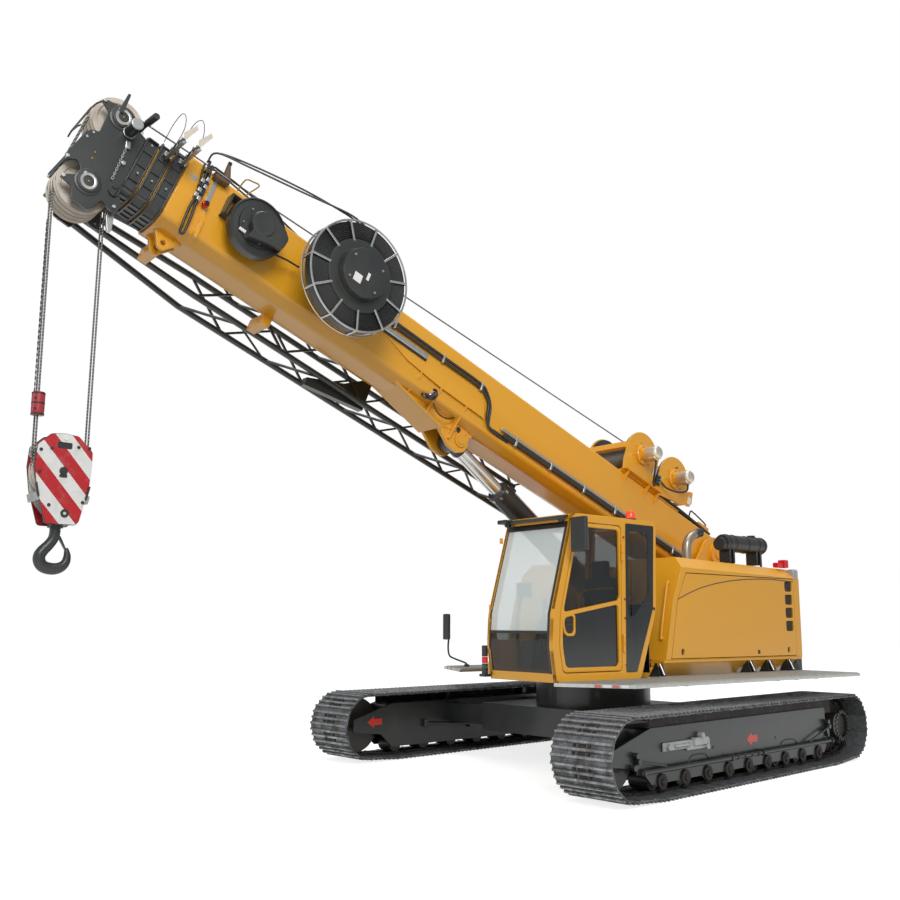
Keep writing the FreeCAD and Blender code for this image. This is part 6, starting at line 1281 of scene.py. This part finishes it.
for turn, reach in ((20, 0.17), (70, 0.17), (110, 0.17), (160, 0.17), (200, 0.16), (320, 0.17)):
    disc(reel, 0.009, 0.01, spot @ Matrix.Translation((reach * math.cos(math.radians(turn)),
                                                      reach * math.sin(math.radians(turn)), 0.56)), sides=6, paint=2)
bar(reel, (0.1, 0.12, 0.553), (0.17, 0.15, 0.557), paint=3, place=spot)
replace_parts(fit(reel, "cable_reel_small_closed", "small_reel", "reel_black", charcoal, trim_black, plated,
                strip_white, place=on_boom), "cable_reel_small")

# Reel brackets. Turned spigots on bolted feet carry both reels clear of the boom's side, with a
# black angle round the small one.
mounts = bmesh.new()
for along, up, radius, reach, spread in ((6.62, -0.09, 0.09, 0.699, 0.16), (7.6, -0.1, 0.06, 0.429, 0.12)):
    spot = crosswise(along, 0, up)
    lathe(mounts, [(0.0, 0.333), (radius + 0.02, 0.333), (radius + 0.02, 0.35), (radius, 0.36), (radius, reach - 0.004),
                   (0.0, reach - 0.002)], spot, sides=32)
    bar(mounts, (-spread, -0.03, 0.331), (spread, 0.1, 0.345), cut=0.004, place=spot)
    for x in (-spread + 0.025, spread - 0.025):
        disc(mounts, 0.013, 0.012, spot @ Matrix.Translation((x, 0.03, 0.35)), sides=6, paint=1)
bar(mounts, (7.8, 0.331, -0.12), (7.93, 0.4, -0.1), cut=0.003)
bar(mounts, (7.905, 0.331, -0.12), (7.925, 0.46, 0.1), cut=0.003)
bar(mounts, (7.82, 0.331, 0.085), (7.925, 0.46, 0.1), cut=0.003)
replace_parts(fit(mounts, "reel_bracket_pair", "boom_foot", "charcoal_paint", charcoal, plated, place=on_boom),
            "reel_brackets")
cables = bmesh.new()
for shift in (0.0, 0.03):
    hose(cables, flow([(6.75, 0.78 + shift, 0.45), (6.95, 0.78 + shift, 0.447), (7.4, 0.7, 0.43 - shift),
                       (7.9, 0.52, 0.42 - shift), (8.2, 0.4, 0.38), (8.23, 0.34, 0.27)], 5), 0.009)
hose(cables, flow([(7.86, 0.3, 0.24), (7.832, 0.3, 0.396), (7.76, 0.3, 0.43), (7.69, 0.3, 0.435), (7.75, 0.3, 0.3),
                   (7.77, 0.3, 0.24)], 4), 0.007, paint=1)
hose(cables, [(7.36, 0.5, -0.22), (7.2, 0.45, -0.16), (7.05, 0.42, -0.13)], 0.01)
fit(cables, "reel_cables", "boom_foot", "charcoal_paint", trim_black, brass, place=on_boom)

# Sensor arms. On the third and last collars, plated flat arms carry small pulleys and pale guards,
# with two thin cable loops.
arms = bmesh.new()
for along, body_up in ((8.565, 0.05), (8.425, 0.075)):
    panel(arms, [(along - 0.012, body_up), (along + 0.012, body_up), (along + 0.0, body_up + 0.03),
                 (along - 0.03, body_up + 0.03)], 0.3, 0.7, edge=0.003)
    bar(arms, (along - 0.05, 0.28, body_up + 0.03), (along + 0.03, 0.33, body_up + 0.075), cut=0.006)
    for y, rise in ((0.4, 0.06), (0.52, 0.09), (0.62, 0.06)):
        disc(arms, 0.02, 0.05, crosswise(along - 0.01, y, body_up + rise), sides=20, paint=1, cut=0.004)
        bar(arms, (along - 0.016, y - 0.012, body_up + 0.02), (along + 0.006, y + 0.012, body_up + rise), cut=0.003)
        bar(arms, (along - 0.02, y - 0.03, body_up + rise + 0.01), (along + 0.01, y - 0.01, body_up + rise + 0.05),
            cut=0.004)
    panel(arms, [(along - 0.02, body_up + 0.08), (along - 0.085, body_up + 0.27), (along - 0.06, body_up + 0.3),
                 (along + 0.01, body_up + 0.16)], 0.6, 0.606, edge=0.001, paint=2)
    hose(arms, [(along - 0.02, 0.3, body_up + 0.05), (along + 0.0, 0.45, body_up + 0.1),
                (along - 0.01, 0.6, body_up + 0.1)], 0.009, paint=1)
for points in (((8.635, 0.3, 0.2), (8.635, 0.3, 0.39), (8.62, 0.3, 0.52), (8.6, 0.3, 0.575), (8.565, 0.3, 0.56),
                (8.535, 0.3, 0.47), (8.53, 0.3, 0.36), (8.54, 0.3, 0.2)),
               ((8.5, 0.3, 0.2), (8.49, 0.3, 0.41), (8.47, 0.3, 0.57), (8.43, 0.3, 0.64), (8.39, 0.3, 0.61),
                (8.355, 0.3, 0.51), (8.35, 0.3, 0.38), (8.385, 0.3, 0.2))):
    hose(arms, flow(points, 6), 0.0035, sides=8, paint=1)
fit(arms, "collar_sensor_arms", "boom_second", "silver_metal", plated, trim_black, cast_nylon, place=on_boom)

# Stowed lattice jib. Welded tube in charcoal enamel, clipped along the boom's right side.
coat(charcoal, "lattice_jib")

# Over-hoist weight. A red two-part casting clamped round one fall, hanging on a fine chain.
hub_world = on_boom @ Vector((9.02, 0.0, -0.55))
drop = bmesh.new()
hang = Matrix.Translation(hub_world + Vector((0.2164, 0.037, 0)))
red_cast = enamel("red_casting", "#a8222c", "#7d3a34", roughness=0.4, dust=0.3, cloud_mm=90.0)
lathe(drop, [(0.0105, -2.04), (0.038, -2.04), (0.051, -2.015), (0.053, -2.0), (0.053, -1.855), (0.048, -1.842),
             (0.0105, -1.84), (0.0105, -2.04)], hang, sides=32)
for low in (-2.036, -1.945, -1.862):
    lathe(drop, [(0.04, low), (0.0541, low), (0.0541, low + 0.014), (0.04, low + 0.014)], hang, sides=32, paint=1)
for low in (-1.99, -1.9):
    for turn in (50, 230):
        disc(drop, 0.01, 0.012, hang @ Matrix.Rotation(math.radians(turn), 4, "Z") @ Matrix.Translation((0.055, 0, low))
             @ Matrix.Rotation(math.pi / 2, 4, "Y"), sides=8, paint=1)
chain_top, chain_low, links = -0.335, -1.84, 60
for index in range(links):
    z = chain_low + (chain_top - chain_low) * (index + 0.5) / links
    bar(drop, (0.036 - 0.0055, -0.0018, z - 0.0145), (0.036 + 0.0055, 0.0018, z + 0.0145), cut=0.0015, paint=1,
        place=hang @ Matrix.Translation((0.036, 0, 0)) @ Matrix.Rotation(math.pi / 2 * (index % 2), 4, "Z")
        @ Matrix.Translation((-0.036, 0, 0)))
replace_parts(fit(drop, "overhoist_weight_unit", "hanging_ropes", "over_red", red_cast, trim_black), "overhoist_weight")

# Falls. Wire rope between the head sheaves and the block, copied from its solid where it hangs.
falls_node = frame["nodes"]["rope_falls"]
falls = bmesh.new()
falls.from_mesh(falls_node.data)
bmesh.ops.transform(falls, matrix=falls_node.matrix_world, verts=falls.verts)
falls_mesh = bpy.data.meshes.new("block_falls")
falls.to_mesh(falls_mesh)
falls.free()
falls_mesh.materials.append(wire_rope)
block_falls = bpy.data.objects.new("block_falls", falls_mesh)
bpy.context.scene.collection.objects.link(block_falls)
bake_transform(block_falls)
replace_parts(block_falls, "rope_falls")

# Hook block. Two cheek plates painted white with broad red diagonal warning stripes, bolted round
# black spacers, with a keyed sheave pin, a side grip at each edge and a crosshead for the hook.
striped, stripe_tree, stripe_shader = finish("striped_enamel")
where = add(stripe_tree, "TexCoord").outputs["Object"]
STRIPE_PAIR = 0.2135
FIRST_RED = 2.986
slant = add(stripe_tree, "VectorMath", {0: where, 1: (0.761 / STRIPE_PAIR, 0.0, -0.649 / STRIPE_PAIR)},
            operation="DOT_PRODUCT")
shift = add(stripe_tree, "Math", {0: slant.outputs["Value"], 1: FIRST_RED / STRIPE_PAIR}, operation="SUBTRACT")
phase = add(stripe_tree, "Math", {0: shift.outputs[0]}, operation="FRACT")
red_part = add(stripe_tree, "Math", {0: phase.outputs[0], 1: 0.5}, operation="LESS_THAN")
grime = add(stripe_tree, "TexNoise", {"Vector": where, "Scale": 14.0, "Detail": 5.0})
worn = add(stripe_tree, "MapRange", {"Value": grime.outputs["Fac"], "From Min": 0.5, "From Max": 0.8, "To Max": 0.3})
stripe = add(stripe_tree, "Mix", {"Factor": red_part.outputs[0], "A": linear("#dddbd7"), "B": linear("#b5161b")},
             data_type="RGBA")
stripe_tone = add(stripe_tree, "Mix", {"Factor": worn.outputs[0], "A": stripe.outputs["Result"],
                                          "B": linear("#9a8f86")}, data_type="RGBA")
stripe_tree.links.new(stripe_tone.outputs["Result"], stripe_shader.inputs["Base Color"])
stripe_shader.inputs["Roughness"].default_value = 0.35
CHEEK = [(-0.23, -2.31), (-0.11, -2.19), (0.0, -2.178), (0.11, -2.19), (0.215, -2.29), (0.228, -2.45), (0.2, -2.65),
         (0.12, -2.92), (0.1, -2.93), (-0.12, -2.93), (-0.15, -2.9), (-0.215, -2.62), (-0.23, -2.45)]
block = bmesh.new()
hang = Matrix.Translation(hub_world)
for sign in (1, -1):
    slot = [(-0.06, -2.305), (0.06, -2.305), (0.06, -2.25), (-0.06, -2.25)]
    panel(block, CHEEK, sign * 0.095, sign * 0.121, holes=[(slot, 0.012)], corner=0.012, steps=3, edge=0.003, place=hang)
    # A slightly larger black plate set inside each cheek shows as a dark rim round its outline: a painted shadow along
    # the cheek's edge.
    panel(block, [(x * 1.015, -2.56 + (z + 2.56) * 1.012) for x, z in CHEEK], sign * 0.098, sign * 0.112, corner=0.012,
          steps=3, edge=0.002, paint=1, place=hang)
    face = sign * 0.123
    for x, z in ((0.105, -2.31), (-0.11, -2.28), (-0.2, -2.28), (0.19, -2.51), (0.1, -2.78), (-0.17, -2.74), (0.19, -2.33)):
        disc(block, 0.014, 0.014, hang @ crosswise(x, face, z), sides=16, paint=1, cut=0.003)
    disc(block, 0.034, 0.02, hang @ crosswise(0.0, face, -2.49), sides=28, paint=1, cut=0.005)
    bar(block, (-0.032, face - 0.008, -2.545), (0.032, face + 0.008, -2.52), cut=0.006, paint=1, place=hang)
    lathe(block, [(0.014, 0.0), (0.034, 0.0), (0.034, 0.01), (0.014, 0.01), (0.014, 0.0)],
          hang @ crosswise(-0.03, sign * 0.118, -2.84) @ Matrix.Rotation(0 if sign > 0 else math.pi, 4, "X"), sides=28,
          paint=1)
    disc(block, 0.02, 0.008, hang @ crosswise(-0.005, sign * 0.1215, -2.215), sides=24, paint=3, cut=0.002)
for x, lean in ((0.2, -13), (-0.205, 13)):
    bar(block, (x - 0.008, 0.118, -2.72), (x + 0.008, 0.142, -2.6), cut=0.006, paint=1, place=hang, lean=(-lean, "Y"))
    bar(block, (x - 0.018, -0.1, -2.75), (x + 0.012, 0.124, -2.68), cut=0.005, paint=2, place=hang, lean=(-lean, "Y"))
disc(block, 0.0445, 0.2, hang @ crosswise(0, 0, -2.49), sides=28, paint=1)
bar(block, (-0.09, -0.099, -2.91), (0.09, 0.099, -2.79), cut=0.008, segments=2, paint=1, place=hang)
for x in (-0.12, 0.12):
    disc(block, 0.02, 0.2, hang @ crosswise(x * 1.6, 0, -2.33), sides=20, paint=1)
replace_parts(fit(block, "hook_block_cheeks", "block", "block_red", striped, trim_black, galvanised, strip_white),
            "hook_block")

# Hook. A forged single hook in black, thickest at the bowl, with a sprung latch.
forged = enamel("forged_black", "#1d201e", "#45423c", roughness=0.45, dust=0.3, cloud_mm=150.0, peel=0.2)
hook = bmesh.new()
PATH = [(0.0, -2.93, 0.044), (0.0, -3.0, 0.044), (0.012, -3.05, 0.043), (0.045, -3.1, 0.044), (0.085, -3.145, 0.047),
        (0.11, -3.19, 0.049), (0.105, -3.24, 0.05), (0.07, -3.278, 0.05), (0.0, -3.292, 0.049), (-0.06, -3.278, 0.044),
        (-0.1, -3.24, 0.037), (-0.112, -3.19, 0.031), (-0.108, -3.15, 0.024), (-0.1, -3.115, 0.014)]
part = bmesh.new()
smooth = flow([(x, 0.0, z) for x, z, radius in PATH], 4)
widths = flow([(radius, 0.0, 0.0) for x, z, radius in PATH], 4)
rings = []
for index, point in enumerate(smooth):
    ahead = (smooth[min(index + 1, len(smooth) - 1)] - smooth[max(index - 1, 0)]).normalized()
    turned = Matrix((ahead.cross(Vector((0, 1, 0))), Vector((0, 1, 0)), ahead)).transposed().to_4x4()
    ring = bmesh.ops.create_circle(part, segments=20, radius=widths[index].x, matrix=Matrix.Translation(point) @ turned
                                   @ Matrix.Diagonal((1.0, 0.82, 1.0, 1.0)))
    rings.append(list({edge for vert in ring["verts"] for edge in vert.link_edges}))
for first, second in zip(rings, rings[1:]):
    bmesh.ops.bridge_loops(part, edges=first + second)
for edges in (rings[0], rings[-1]):
    bmesh.ops.contextual_create(part, geom=edges)
bmesh.ops.recalc_face_normals(part, faces=part.faces[:])
weld(hook, part, 0, hang)
disc(hook, 0.046, 0.07, hang @ Matrix.Translation((0, 0, -2.89)), sides=28)
lathe(hook, [(0.03, -2.955), (0.062, -2.955), (0.062, -2.933), (0.03, -2.933)], hang, sides=28)
bar(hook, (-0.035, -0.03, -3.045), (-0.005, 0.03, -3.0), cut=0.008, segments=2, place=hang)
panel(hook, [(-0.02, -3.015), (-0.045, -3.02), (-0.1, -3.13), (-0.092, -3.14), (-0.035, -3.045)], -0.016, 0.016,
      edge=0.002, place=hang)
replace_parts(fit(hook, "crane_hook", "load_hook", "hook_black", forged), "hook")
